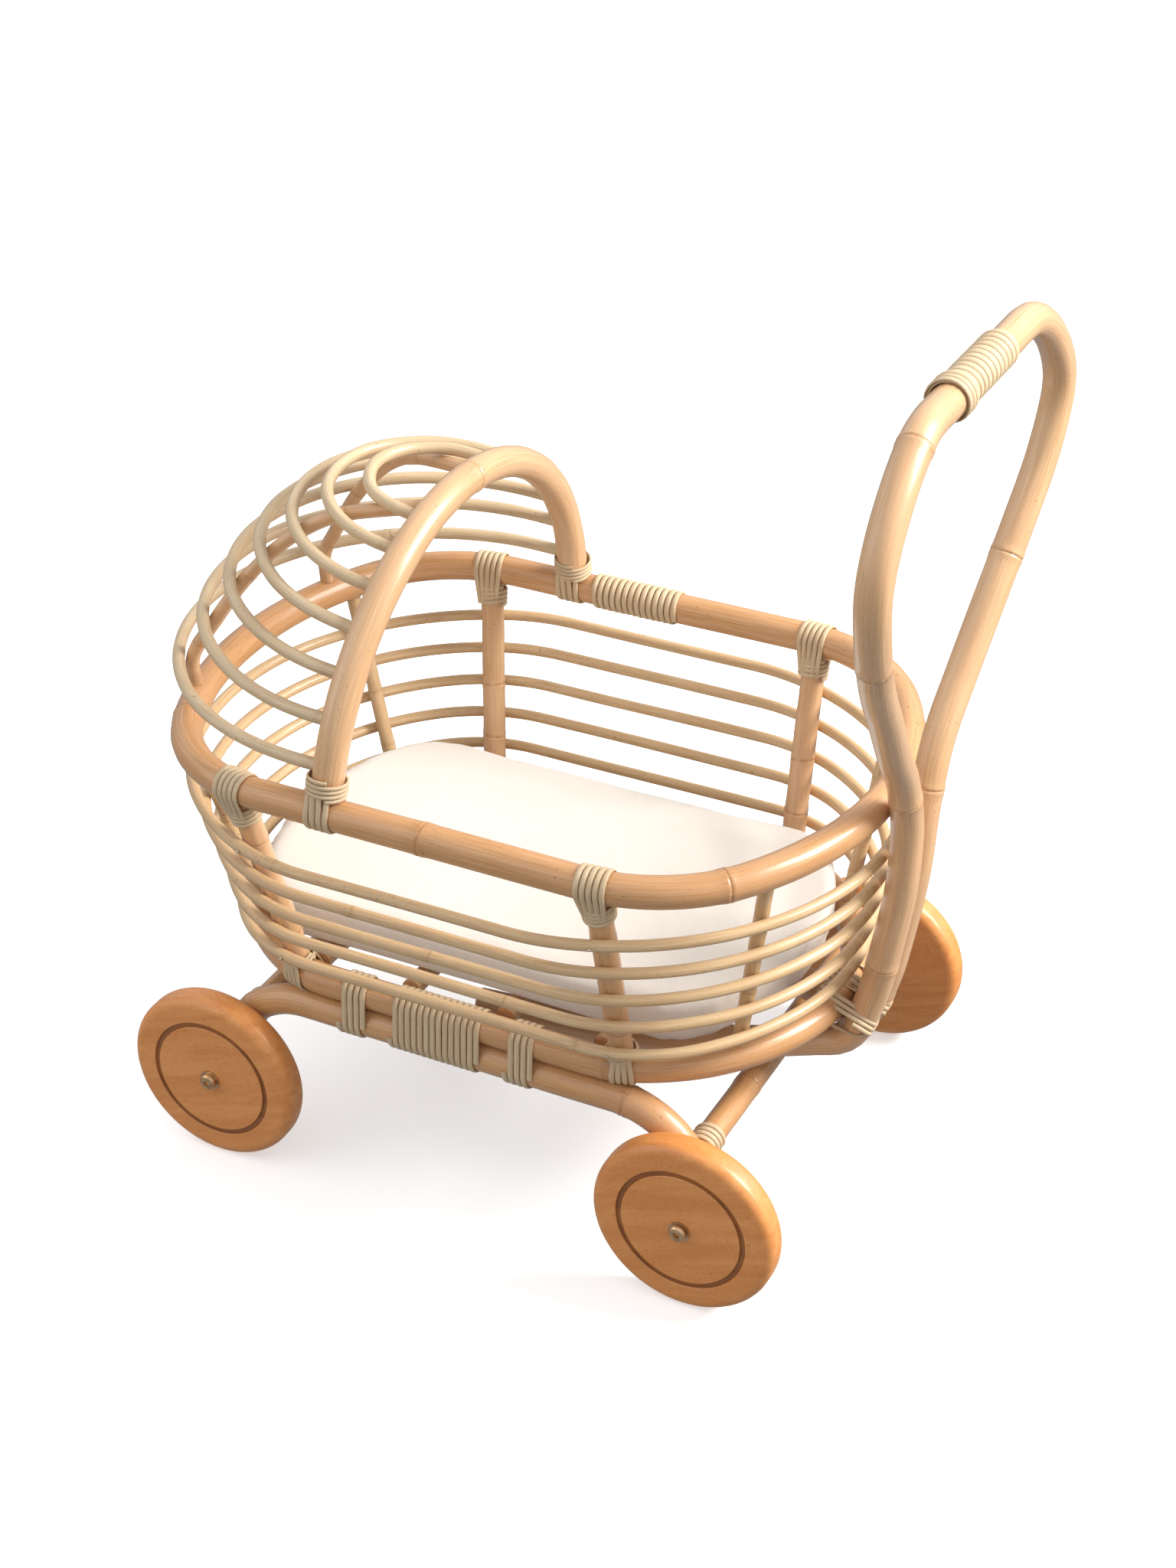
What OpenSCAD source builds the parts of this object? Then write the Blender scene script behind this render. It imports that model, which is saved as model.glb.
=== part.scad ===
// Doll pram with a rattan basket, hood and push handle, on four wooden wheels.
// X runs from the hood end to the handle end, Z is up, and the floor is at zero.

/* [Basket] */
// Height of the rim pole's middle above the floor
rim_h = 289; // [260:1:350]
// Width of the basket between the middles of the rim's two sides
rim_w = 320; // [270:1:380]
// Length of the basket between the middles of the rim's two ends
rim_l = 446; // [390:1:540]
// Diameter of the rim, base ring, arch, handle and side rails
pole_d = 20; // [16:1:22]
// Height of the base ring's middle above the floor
base_h = 139; // [125:1:165]
// How much narrower the base ring is than the rim
base_taper_w = 62; // [50:1:90]
// How much shorter the base ring is than the rim
base_taper_l = 46; // [40:1:70]
// Diameter of the four posts
post_d = 15.5; // [12:0.5:18]
// Distance from the basket's middle to the rear posts
rear_post_x = 112; // [90:1:125]
// Distance from the basket's middle to the front posts, at the rim
front_post_x = 128; // [100:1:138]
// Diameter of the thin uprights at the two ends
upright_d = 9.5; // [7:0.5:11]

/* [Side rods] */
// Number of rods round the basket
rods = 5; // [3:1:6]
// Diameter of each rod
rod_d = 7.5; // [6:0.5:8.5]
// Drop from the rim to the first rod
first_rod_drop = 38.5; // [34:0.5:46]
// Height of the last rod above the base ring
last_rod_rise = 22; // [18:0.5:30]

/* [Hood] */
// Height of the hood arch above the rim
arch_h = 147; // [120:1:180]
// Distance from the basket's middle to the arch's feet
arch_x = 66; // [50:1:80]
// Lean of the arch towards the handle, in degrees
arch_lean = 4; // [0:0.5:8]
// Number of loops in the hood
loops = 7; // [4:1:8]
// Diameter of each loop
loop_d = 8; // [6:0.5:9]
// Reach of the top loop in front of the arch
loop_reach_top = 59; // [50:1:70]
// Reach of the bottom loop in front of the arch
loop_reach_low = 178; // [160:1:190]
// Diameter of the two ribs inside the loops
rib_d = 9; // [7:0.5:11]

/* [Handle] */
// Height of the handle's top bar above the floor
handle_h = 564; // [480:1:680]
// Width of the handle loop
handle_w = 288; // [220:1:340]
// Gap between the two handle legs where they run side by side
leg_gap = 2; // [1:0.5:6]

/* [Running gear] */
// Diameter of each wheel
wheel_d = 120; // [100:1:144]
// Thickness of each wheel
wheel_t = 20.5; // [16:0.5:25]
// Radius of the wheel's rounded edges
wheel_round = 7; // [3:0.5:8]
// Diameter of the turned groove in each wheel
groove_d = 82; // [60:1:86]
// Width of the groove
groove_w = 3.4; // [1:0.2:4]
// Depth of the groove
groove_depth = 1.6; // [0.6:0.2:3]
// Distance between the front and rear axle bolts
wheelbase = 334; // [300:1:400]
// Diameter of the axle bolts' shanks
bolt_d = 6; // [5:0.5:8]
// Diameter of the two cross poles
cross_d = 17; // [13:0.5:19]
// Number of slats under the mattress
slats = 4; // [3:1:6]
// Diameter of each slat
slat_d = 13; // [10:0.5:14]

/* [Mattress] */
// Thickness of the mattress
mattress_t = 30.5; // [20:0.5:40]

/* [Bindings] */
// Thickness of one layer of cane binding
cane_t = 1.4; // [1:0.1:2]
// Width of the binding strip of each lashing
lash_w = 24; // [18:1:30]
// Length of the long wrap on each side rail
rail_wrap_l = 62; // [40:1:80]
// Length of the wrap on the rim's joint
rim_wrap_l = 62; // [40:1:70]
// Length of the grip wrap on the handle
grip_l = 84; // [60:1:100]

/* [Fits] */
// Clearance between poles that touch
gap = 0.3; // [0.2:0.05:0.5]
// Clearance between a binding and the pole it goes round
wrap_gap = 0.15; // [0.1:0.05:0.3]
// Radial running clearance of a wheel on its bolt
run_gap = 0.08; // [0.04:0.01:0.1]

/* [Hidden] */
$fn = 48;
pole_r = pole_d / 2;
post_r = post_d / 2;
rod_r = rod_d / 2;
loop_r = loop_d / 2;
rib_r = rib_d / 2;
upright_r = upright_d / 2;
slat_r = slat_d / 2;
cross_r = cross_d / 2;
axle_z = wheel_d / 2;

// An outline is [height, half width, rear straight, rear corner, rear tip, front straight, front corner, front tip]
rim_side = rim_w / 2;
rim_tip = rim_l / 2;
// The curved ends keep their shape when the length changes: they are measured back from the tips
rim_rear_end = rim_side * 0.74375;
rim_front_end = rim_side * 0.69375;
rim_line = [rim_h, rim_side, rim_tip - rim_rear_end, rim_side * 0.63, rim_tip,
            rim_tip - rim_front_end, rim_side * 0.6, rim_tip];
base_side = (rim_w - base_taper_w) / 2;
base_tip = (rim_l - base_taper_l) / 2;
base_rear_end = base_side * 0.8704;
base_front_end = base_side * 0.8504;
base_line = [base_h, base_side, base_tip - base_rear_end, base_side * 0.65, base_tip,
             base_tip - base_front_end, base_side * 0.62, base_tip];

// Half width of an outline at a place along X
function corner_y(side, straight, corner, x) =
    x <= straight ? side : side - corner + sqrt(max(0, corner * corner - pow(x - straight, 2)));
function half_width(o, x) = x >= 0 ? corner_y(o[1], o[2], o[3], x) : corner_y(o[1], o[5], o[6], -x);
// Radius of the wide arc that closes an end
function tip_radius(side, straight, corner, tip) =
    let (l = tip - straight) (l * l + side * side - 2 * side * corner) / (2 * (l - corner));

front_post_lean = 15;
front_foot_x = front_post_x - front_post_lean;
function unit(v) = v / norm(v);
function post_ends(front, side) =
    let (top_x = front ? -front_post_x : rear_post_x, low_x = front ? -front_foot_x : rear_post_x)
    [[top_x, side * half_width(rim_line, top_x), rim_h], [low_x, side * half_width(base_line, low_x), base_h]];
function post_at(front, z) =
    let (e = post_ends(front, 1), t = (e[0][2] - z) / (e[0][2] - e[1][2])) e[0] + t * (e[1] - e[0]);

// Rods pass outside the posts, so their width is worked out from the posts
rod_top = rim_h - first_rod_drop;
rod_low = base_h + last_rod_rise;
function rod_z(i) = rod_top - (rod_top - rod_low) * i / (rods - 1);
function mix(a, b, t) = a + (b - a) * t;
step_gap = 0.8;  // rods are drawn in short straight steps, so they stand this much further off
function rod_need(front, z) = abs(post_at(front, z)[1]) + post_r + rod_r + gap + step_gap;
function rod_side(x, straight, corner, need) = need + corner - sqrt(corner * corner - pow(max(0, x - straight), 2));
rod_corner = 0.82;
// How far the first and last rods stand out past the ring beside them, at the rear and at the front
rod_out = [[2, 7], [12, 6]];
// Length of the first and last rods' curved ends
rod_end = [[165, 117], [160, 114]];
function rod_line(i) =
    let (t = i / (rods - 1), z = rod_z(i),
         rear_tip = mix(rim_tip + rod_out[0][0], base_tip + rod_out[0][1], t),
         front_tip = mix(rim_tip + rod_out[1][0], base_tip + rod_out[1][1], t),
         rear_straight = rear_tip - mix(rod_end[0][0], rod_end[0][1], t),
         front_straight = front_tip - mix(rod_end[1][0], rod_end[1][1], t),
         rear_corner = rod_corner * (rear_tip - rear_straight),
         front_corner = rod_corner * (front_tip - front_straight),
         rear_side = rod_side(rear_post_x, rear_straight, rear_corner, rod_need(false, z)),
         front_side = rod_side(-post_at(true, z)[0], front_straight, front_corner, rod_need(true, z)))
    [z, max(rear_side, front_side), rear_straight, rear_corner, rear_tip, front_straight, front_corner, front_tip];

// Hood arch: one arc in a plane that leans back
arch_in = 2;
arch_half = half_width(rim_line, -arch_x) - arch_in;
arch_rise = arch_h / cos(arch_lean);
arch_radius = (arch_half * arch_half + arch_rise * arch_rise) / (2 * arch_rise);
arch_centre = arch_rise - arch_radius;
arch_stand = pole_r + gap + pole_r * pow(arch_centre / arch_radius, 2) / 2;
arch_foot = asin(min(1, arch_stand / arch_radius)) - asin(arch_centre / arch_radius);
// A point on the arch at an angle from its top
function arch_point(a) =
    let (up = arch_centre + arch_radius * cos(a))
    [-arch_x + up * sin(arch_lean), arch_radius * sin(a), rim_h + up * cos(arch_lean)];

// Hood loops: each is a U in a plane that tips up at the front
loop_first = 16;
loop_last = 76;
function loop_t(i) = i / (loops - 1);
function loop_angle(i) = mix(loop_first, loop_last, loop_t(i));
function loop_reach(i) = mix(loop_reach_top, loop_reach_low, pow(loop_t(i), 0.87));
function loop_tilt(i) = 8.5 - 7 * pow(loop_t(i), 2);
function loop_start(i) = pole_r + gap + loop_r * abs(tan(loop_tilt(i) - arch_lean));
function loop_half(i) = arch_radius * sin(loop_angle(i));

// Side rails: under the base ring, bent down at both ends to the axle bolts
rail_out = 2;
rail_y = base_side + rail_out;
rail_z = base_h - sqrt(pow(pole_d + gap, 2) - rail_out * rail_out);
rail_bend = rail_z - axle_z;
rail_half = wheelbase / 2 - rail_bend;
rail_end = 12;
cross_angle = 28;
cross_x = rail_half + rail_bend * cos(cross_angle);
cross_z = axle_z + rail_bend * sin(cross_angle);
washer_t = 1.5;
washer_d = bolt_d * 2.2;
wheel_in = rail_y + pole_r + washer_t + gap;
wheel_out = wheel_in + wheel_t;
bolt_head_d = bolt_d * 1.9;
bolt_head_t = 3.4;
nut_t = bolt_d * 0.8;

// Slats and mattress inside the base ring
slat_lift = 3.5;
slat_z = base_h + slat_lift;
mattress_low = slat_z + slat_r + gap;
// The mattress lies on the slats inside the rods; [half width, rear straight, corner, tip, front straight, corner, tip]
bed_side = base_side - 16;
bed_rear = base_tip - 13;
bed_front = base_tip - 4;
bed_line = [bed_side, bed_rear - 62, 42, bed_rear, bed_front - 68, 48, bed_front];
slat_span = base_tip;
slat_shift = 6;
function slat_x(i) = -slat_span / 2 - slat_shift + slat_span * i / (slats - 1);

// Handle: two legs behind the basket that open into a loop
handle_x = rim_tip + pole_d;
leg_x = base_tip + pole_d;
leg_y = pole_r + leg_gap / 2;
leg_low = base_h - pole_d - 6;
handle_side = handle_w / 2;
function leg_z(t) = mix(base_h, rim_h, t);
function loop_z(t) = mix(rim_h, handle_h, t);
HANDLE_HALF = [
    [handle_x + 18, 0, handle_h],
    [handle_x + 18.5, handle_side * 0.3, handle_h],
    [handle_x + 20, handle_side * 0.6, handle_h - 1],
    [handle_x + 21, handle_side * 0.86, loop_z(0.905)],
    [handle_x + 21, handle_side, loop_z(0.78)],
    [handle_x + 18, handle_side * 0.93, loop_z(0.633)],
    [handle_x + 13, handle_side * 0.77, loop_z(0.494)],
    [handle_x + 8.5, handle_side * 0.575, loop_z(0.363)],
    [handle_x + 4, handle_side * 0.385, loop_z(0.233)],
    [handle_x + 0.7, max(leg_y, handle_side * 0.2), loop_z(0.11)],
    [handle_x - 0.5, leg_y + 3, leg_z(0.947)],
    [handle_x - 3, leg_y, leg_z(0.647)],
    [leg_x + 13, leg_y, leg_z(0.347)],
    [leg_x + 4.7, leg_y, leg_z(0.08)],
    [leg_x - 8.5, leg_y + 2, leg_low + 6],
    [leg_x - 31, leg_y + 10, leg_low],
    [leg_x - 79, leg_y + 34, leg_low],
    [leg_x - 149, leg_y + 56, leg_low],
    [leg_x - 234, leg_y + 66, leg_low]];

// The whole object stands with the middle of its box over the origin
front_x = arch_point(loop_last)[0] - loop_reach_low * cos(loop_tilt(loops - 1)) - loop_r;
rear_x = handle_x + 21 + pole_r;
shift_x = -(front_x + rear_x) / 2;

cane = "#e6cfa6";
rattan = "#d8a878";
pale_rattan = "#e0bd8c";
straw = "#e2c598";
beech = "#c57f46";
linen = "#f3efe8";
zinc = "#c9a86a";

// Everything is drawn about the basket's middle and moved to the origin together
module placed() {
    translate([shift_x, 0, 0]) children();
}

// A round bar between two points
module bar(a, b, r) {
    v = b - a;
    translate(a) rotate([0, acos(v[2] / norm(v)), atan2(v[1], v[0])]) cylinder(h = norm(v), r = r);
}

// A bent bar in a level plane: part of a ring about a centre
module bend(centre, radius, r, from, turn) {
    translate(centre) rotate([0, 0, from]) rotate_extrude(angle = turn) translate([radius, 0]) circle(r = r);
}

// Points round one corner and half end of an outline, for flat shapes
function end_points(side, straight, corner, tip, n) =
    let (wide = tip_radius(side, straight, corner, tip),
         turn = atan2(side - corner, straight - (tip - wide)))
    concat([for (i = [0:n]) let (a = turn * i / n) [tip - wide + wide * cos(a), wide * sin(a)]],
           [for (i = [1:n]) let (a = turn + (90 - turn) * i / n)
               [straight + corner * cos(a), side - corner + corner * sin(a)]]);
function flipped(p) = [for (i = [len(p) - 1:-1:0]) p[i]];
function outline_points(side, rs, rc, rt, fs, fc, ft, n) =
    let (rear = end_points(side, rs, rc, rt, n), front = end_points(side, fs, fc, ft, n),
         upper = concat(rear, flipped([for (p = front) [-p[0], p[1]]])))
    concat(upper, flipped([for (i = [1:len(upper) - 2]) [upper[i][0], -upper[i][1]]]));

// A closed level pole swept along an outline
module ring(o, r, sides = 12) {
    p = outline_points(o[1], o[2], o[3], o[4], o[5], o[6], o[7], 7);
    n = len(p);
    pts = [for (i = [0:n - 1], k = [0:sides - 1])
        let (t = unit(p[(i + 1) % n] - p[(i + n - 1) % n]), a = 360 * (k + 0.5) / sides)
        [p[i][0] + r * cos(a) * t[1], p[i][1] - r * cos(a) * t[0], o[0] + r * sin(a)]];
    faces = [for (i = [0:n - 1], k = [0:sides - 1])
        let (a = i * sides + k, b = i * sides + (k + 1) % sides,
             c = (i + 1) % n * sides + k, d = (i + 1) % n * sides + (k + 1) % sides, f = [a, c, d, b]) f];
    polyhedron(pts, faces, convexity = 8);
}

// A smooth curve through hand-placed points
function curve_point(a, b, c, d, t) =
    0.5 * (2 * b + (c - a) * t + (2 * a - 5 * b + 4 * c - d) * t * t + (3 * b - a - 3 * c + d) * t * t * t);
function smooth(p, n) = let (last = len(p) - 1) concat(
    [for (i = [0:last - 1], k = [0:n - 1])
        curve_point(i == 0 ? 2 * p[0] - p[1] : p[i - 1], p[i], p[i + 1],
                    i == last - 1 ? 2 * p[last] - p[last - 1] : p[i + 2], k / n)],
    [p[last]]);

// A pole swept along points that don't lie in one plane
module swept(p, r, sides, start) {
    n = len(p);
    t = [for (i = [0:n - 1]) unit(p[min(i + 1, n - 1)] - p[max(i - 1, 0)])];
    s = [for (i = 0, v = unit(start - (start * t[0]) * t[0]); i < n;
              i = i + 1, v = i < n ? unit(v - (v * t[i]) * t[i]) : v) v];
    pts = [for (i = [0:n - 1], k = [0:sides - 1])
        let (a = 360 * k / sides) p[i] + r * (cos(a) * s[i] + sin(a) * cross(t[i], s[i]))];
    faces = concat(
        [for (i = [0:n - 2], k = [0:sides - 1]) let (a = i * sides + k, b = i * sides + (k + 1) % sides)
            [a, a + sides, b + sides, b]],
        [[for (k = [0:sides - 1]) k]],
        [[for (k = [sides - 1:-1:0]) (n - 1) * sides + k]]);
    polyhedron(pts, faces, convexity = 8);
}

module rim_pole() {
    color(rattan) placed() ring(rim_line, pole_r);
}

module base_ring() {
    color(rattan) placed() ring(base_line, pole_r);
}

// A post stands between the base ring and the rim, its ends resting on their round sides
module post(front, side) {
    e = post_ends(front, side);
    v = unit(e[1] - e[0]);
    off = pole_r + gap + post_r * abs(v[0]);
    color(pale_rattan) placed() bar(e[0] + v * off, e[1] - v * off, post_r);
}

// Half width of an outline anywhere, its wide end arcs included
function end_y(o, x) =
    let (rear = x >= 0, straight = rear ? o[2] : o[5], corner = rear ? o[3] : o[6], tip = rear ? o[4] : o[7],
         wide = tip_radius(o[1], straight, corner, tip), turn = atan2(o[1] - corner, straight - (tip - wide)),
         join_x = tip - wide + wide * cos(turn), ax = abs(x))
    ax > join_x ? sqrt(max(0, wide * wide - pow(ax - (tip - wide), 2))) : corner_y(o[1], straight, corner, ax);

// Thin uprights stand just inside the rods, two at each end, and run from the base ring to the rim
upright_in = [[32, 31], [34, 17]];
function upright_x(front, z) =
    let (t = (z - base_h) / (rim_h - base_h))
    front ? -mix(base_tip - upright_in[1][0], rim_tip - upright_in[1][1], t)
          : mix(base_tip - upright_in[0][0], rim_tip - upright_in[0][1], t);
function upright_y(front, i) =
    let (x = upright_x(front, rod_z(i)), o = rod_line(i), slope = end_y(o, x + 0.5) - end_y(o, x - 0.5))
    end_y(o, x) - (rod_r + upright_r + gap + 1.5 * step_gap) * sqrt(1 + slope * slope);
function upright_at(front, side, z) =
    let (t = (z - rod_z(0)) / (rod_z(rods - 1) - rod_z(0)))
    [upright_x(front, z), side * mix(upright_y(front, 0), upright_y(front, rods - 1), t), z];
module uprights() {
    color(straw) placed() for (front = [false, true], side = [-1, 1]) {
        top = upright_at(front, side, rim_h);
        low = upright_at(front, side, base_h);
        v = unit(low - top);
        off = pole_r + gap + upright_r * norm([v[0], v[1]]);
        bar(top + v * off, low - v * off, upright_r);
    }
}

module side_rod(i) {
    color(straw) placed() ring(rod_line(i), rod_r, 8);
}

module arch_solid(r) {
    translate([-arch_x, 0, rim_h]) rotate([0, arch_lean, 0]) translate([0, 0, arch_centre])
        rotate([90, 0, 90]) rotate([0, 0, arch_foot]) rotate_extrude(angle = 180 - 2 * arch_foot)
            translate([arch_radius, 0]) circle(r = r);
}

module hood_arch() {
    color(pale_rattan) placed() arch_solid(pole_r);
}

// One loop: two straight legs from the arch and a half circle in front
module hood_loop(i) {
    foot = arch_point(loop_angle(i));
    half = loop_half(i);
    leg = loop_reach(i) - half;
    butt = loop_start(i);
    turns = 24;
    path = concat([[-butt, half, 0]],
                  [for (k = [0:turns]) let (a = 90 + 180 * k / turns) [half * cos(a) - leg, half * sin(a), 0]],
                  [[-butt, -half, 0]]);
    color(straw) placed() translate([foot[0], 0, foot[2]]) rotate([0, loop_tilt(i), 0])
        swept(path, loop_r, 10, [0, 0, 1]);
}

// Ribs run inside the loops from the arch's top to the rim's front
rib_arch_angle = 9;
rib_foot_y = 78;
function rib_line_y(x) =
    let (a = arch_point(rib_arch_angle)) a[1] + (rib_foot_y - a[1]) * (x - a[0]) / (rib_foot_x() - a[0]);
function rib_foot_x() =
    let (wide = tip_radius(rim_side, rim_line[5], rim_line[6], rim_tip))
    wide - rim_tip - sqrt(wide * wide - rib_foot_y * rib_foot_y);
// Where a loop's front crosses the rib's upright plane, found by halving
function rib_gap_at(i, a) =
    let (f = arch_point(loop_angle(i)), h = loop_half(i), s = loop_reach(i) - h + h * cos(a))
    h * sin(a) - rib_line_y(f[0] - s * cos(loop_tilt(i)));
function rib_cross(i, low = 0, high = 90, n = 24) =
    n == 0 ? low : let (m = (low + high) / 2) rib_gap_at(i, m) > 0 ? rib_cross(i, low, m, n - 1)
                                                                   : rib_cross(i, m, high, n - 1);
function loop_at(i, a) =
    let (f = arch_point(loop_angle(i)), h = loop_half(i), s = loop_reach(i) - h + h * cos(a))
    [f[0] - s * cos(loop_tilt(i)), h * sin(a), f[2] + s * sin(loop_tilt(i))];
rib_inset = loop_r + rib_r + 1;
rib_drop = 3;
function rib_points() =
    let (top = arch_point(rib_arch_angle), foot = [rib_foot_x(), rib_foot_y, rim_h],
         hits = [for (i = [0:loops - 1]) loop_at(i, rib_cross(i))],
         way = concat([top], hits, [foot]),
         inner = [for (i = [1:loops])
             let (t = unit(way[i + 1] - way[i - 1]), flat = norm([t[0], t[1]]),
                  out = unit([t[0] * abs(t[2]), t[1] * abs(t[2]), flat * flat]))
             way[i] - rib_inset * out],
         first = unit(inner[0] - (top - [0, 0, rib_drop])), last = unit(foot - inner[loops - 1]))
    concat([top - [0, 0, rib_drop] + first * (pole_r + 2)], inner, [foot - last * (pole_r + 1)]);
module hood_rib(side) {
    color(pale_rattan) placed() mirror([0, side < 0 ? 1 : 0, 0])
        swept(smooth(rib_points(), 3), rib_r, 10, [0, 0, 1]);
}

function mirrored_y(p) = [for (i = [len(p) - 1:-1:1]) [p[i][0], -p[i][1], p[i][2]]];
module push_handle() {
    route = smooth(concat(mirrored_y(HANDLE_HALF), HANDLE_HALF), 3);
    color(pale_rattan) placed() swept(route, pole_r, 12, [1, 0, 0]);
}

// A rail is straight under the basket and turns down through a quarter circle at each end
module rail_pole(side) {
    turns = 8;
    leg = concat([for (k = [0:turns]) let (a = 90 - 90 * k / turns)
                     [rail_half + rail_bend * cos(a), side * rail_y, axle_z + rail_bend * sin(a)]],
                 [[wheelbase / 2, side * rail_y, axle_z - rail_end]]);
    swept(concat(flipped([for (p = leg) [-p[0], p[1], p[2]]]), leg), pole_r, 12, [0, 1, 0]);
}

module side_rail(side) {
    color(rattan) placed() difference() {
        rail_pole(side);
        for (x = [-1, 1]) translate([x * wheelbase / 2, side * (rail_y + pole_r + 1), axle_z])
            rotate([side * 90, 0, 0]) cylinder(h = pole_d + 2, r = bolt_d / 2 + run_gap);
    }
}

// Cross poles join the two rails' legs, their ends resting on the legs' round sides
module cross_pole(front) {
    x = (front ? -1 : 1) * cross_x;
    reach = rail_y - pole_r - gap;
    color(rattan) placed() bar([x, -reach, cross_z], [x, reach, cross_z], cross_r);
}

module slat(i) {
    x = slat_x(i);
    reach = end_y(base_line, x) - sqrt(pow(pole_r + gap, 2) - slat_lift * slat_lift) - 2 * step_gap;
    color(pale_rattan) placed() bar([x, -reach, slat_z], [x, reach, slat_z], slat_r);
}

module mattress() {
    b = bed_line;
    color(linen) placed() difference() {
        translate([0, 0, mattress_low]) linear_extrude(mattress_t)
            polygon(outline_points(b[0], b[1], b[2], b[3], b[4], b[5], b[6], 6));
        for (front = [false, true], side = [-1, 1])
            bar(upright_at(front, side, base_h), upright_at(front, side, rim_h), upright_r + gap);
    }
}

// Profile of a wheel from its inner face up, with rounded edges
module wheel_solid() {
    r = axle_z;
    e = wheel_round;
    rounded = concat([for (i = [0:6]) let (a = 90 * i / 6) [r - e + e * sin(a), e - e * cos(a)]],
                     [for (i = [0:6]) let (a = 90 * i / 6) [r - e + e * cos(a), wheel_t - e + e * sin(a)]]);
    bore = bolt_d / 2 + run_gap;
    difference() {
        rotate_extrude($fn = 96) polygon(concat([[bore, 0]], rounded, [[bore, wheel_t]]));
        translate([0, 0, wheel_t - groove_depth]) difference() {
            cylinder(h = groove_depth + 1, r = groove_d / 2 + groove_w / 2, $fn = 96);
            translate([0, 0, -1]) cylinder(h = groove_depth + 3, r = groove_d / 2 - groove_w / 2, $fn = 96);
        }
    }
}

// Places a part that is drawn along its own axis on one wheel's bolt line
module at_wheel(front, side, from) {
    placed() translate([(front ? -1 : 1) * wheelbase / 2, side * from, axle_z])
        rotate([-side * 90, 0, 0]) children();
}

module wheel(front, side) {
    color(beech) at_wheel(front, side, wheel_in) wheel_solid();
}

module bolt(front, side) {
    head = wheel_out + gap + washer_t;
    tail = rail_y - pole_r - nut_t - gap - 1.5;
    color(zinc) at_wheel(front, side, tail) difference() {
        union() {
            cylinder(h = head - tail + 1, r = bolt_d / 2);
            translate([0, 0, head - tail]) cylinder(h = bolt_head_t, r1 = bolt_head_d / 2, r2 = bolt_head_d * 0.36);
        }
        translate([0, 0, head - tail + bolt_head_t - 2]) cylinder(h = 3, r = bolt_d * 0.33, $fn = 6);
    }
}

module washer(d, t) {
    difference() {
        cylinder(h = t, r = d / 2);
        translate([0, 0, -1]) cylinder(h = t + 2, r = bolt_d / 2 + run_gap);
    }
}

module bolt_washers() {
    color(zinc) for (front = [false, true], side = [-1, 1])
        at_wheel(front, side, wheel_out + gap / 2) washer(washer_d, washer_t);
}

module spacer_washers() {
    color(zinc) for (front = [false, true], side = [-1, 1])
        at_wheel(front, side, rail_y + pole_r + gap / 2) washer(washer_d, washer_t);
}

module axle_nuts() {
    color(zinc) for (front = [false, true], side = [-1, 1])
        at_wheel(front, side, rail_y - pole_r - gap - nut_t) difference() {
            cylinder(h = nut_t, r = bolt_d * 0.92, $fn = 6);
            translate([0, 0, -1]) cylinder(h = nut_t + 2, r = bolt_d / 2 + run_gap);
        }
}

// A sleeve round a straight bar, between two distances from its start
module sleeve(a, b, from, to, r) {
    v = unit(b - a);
    difference() {
        bar(a + v * from, a + v * to, r + wrap_gap + cane_t);
        bar(a + v * (from - 1), a + v * (to + 1), r + wrap_gap);
    }
}

// A binding over a ring, cut to a length along X
module ring_wrap(o, x, side, length) {
    y = side * end_y(o, x);
    big = pole_r + cane_t + wrap_gap + 1;
    intersection() {
        difference() {
            near_ring(o, x, side, pole_r + wrap_gap + cane_t);
            near_ring(o, x, side, pole_r + wrap_gap);
        }
        translate([x - length / 2, y - big - 6, o[0] - big]) cube([length, 2 * big + 12, 2 * big]);
    }
}
// The stretch of a ring about one place: its straight side and one corner
module near_ring(o, x, side, r) {
    turn = 30;
    mirror([0, side < 0 ? 1 : 0, 0]) {
        if (x >= 0) bend([o[2], o[1] - o[3], o[0]], o[3], r, 90 - turn, turn);
        else bend([-o[5], o[1] - o[6], o[0]], o[6], r, 90, turn);
        translate([-o[5], o[1], o[0]]) rotate([0, 90, 0]) cylinder(h = o[2] + o[5], r = r);
    }
}

// A lashing at a post's top: a saddle over the rim and rings round the post
module post_lash(front, side) {
    e = post_ends(front, side);
    v = unit(e[1] - e[0]);
    color(cane) placed() {
        difference() {
            ring_wrap(rim_line, e[0][0], side, lash_w);
            bar(e[0], e[0] + v * (pole_r + 12), post_r + cane_t + 2 * wrap_gap);
        }
        sleeve(e[0], e[1], pole_r + gap, pole_r + lash_w * 0.8, post_r);
    }
}

// The rings on the arch's foot stop under the lowest loop
arch_lash_low = rim_h + pole_r + gap + cane_t;
arch_lash_top = min(arch_lash_low + lash_w, arch_point(loop_last)[2] - loop_r - 2 * gap);
module arch_lash(side) {
    foot = arch_point(side * (90 - arch_foot));
    color(cane) placed() {
        difference() {
            ring_wrap(rim_line, -arch_x, side, lash_w);
            translate([-arch_x, side * arch_half, rim_h])
                cylinder(h = 30, r = pole_r + cane_t + 2 * wrap_gap);
            arch_solid(pole_r + cane_t + 2 * wrap_gap);
        }
        intersection() {
            difference() {
                arch_solid(pole_r + wrap_gap + cane_t);
                arch_solid(pole_r + wrap_gap);
            }
            translate([-arch_x - 2 * pole_d, side > 0 ? 0 : -rim_side - pole_d, arch_lash_low])
                cube([4 * pole_d, rim_side + pole_d, arch_lash_top - arch_lash_low]);
        }
    }
}

module lash_post_feet() {
    color(cane) placed() for (front = [false, true], side = [-1, 1]) {
        e = post_ends(front, side);
        v = unit(e[0] - e[1]);
        sleeve(e[1], e[0], pole_r + gap, pole_r + 8, post_r);
    }
}

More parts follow.
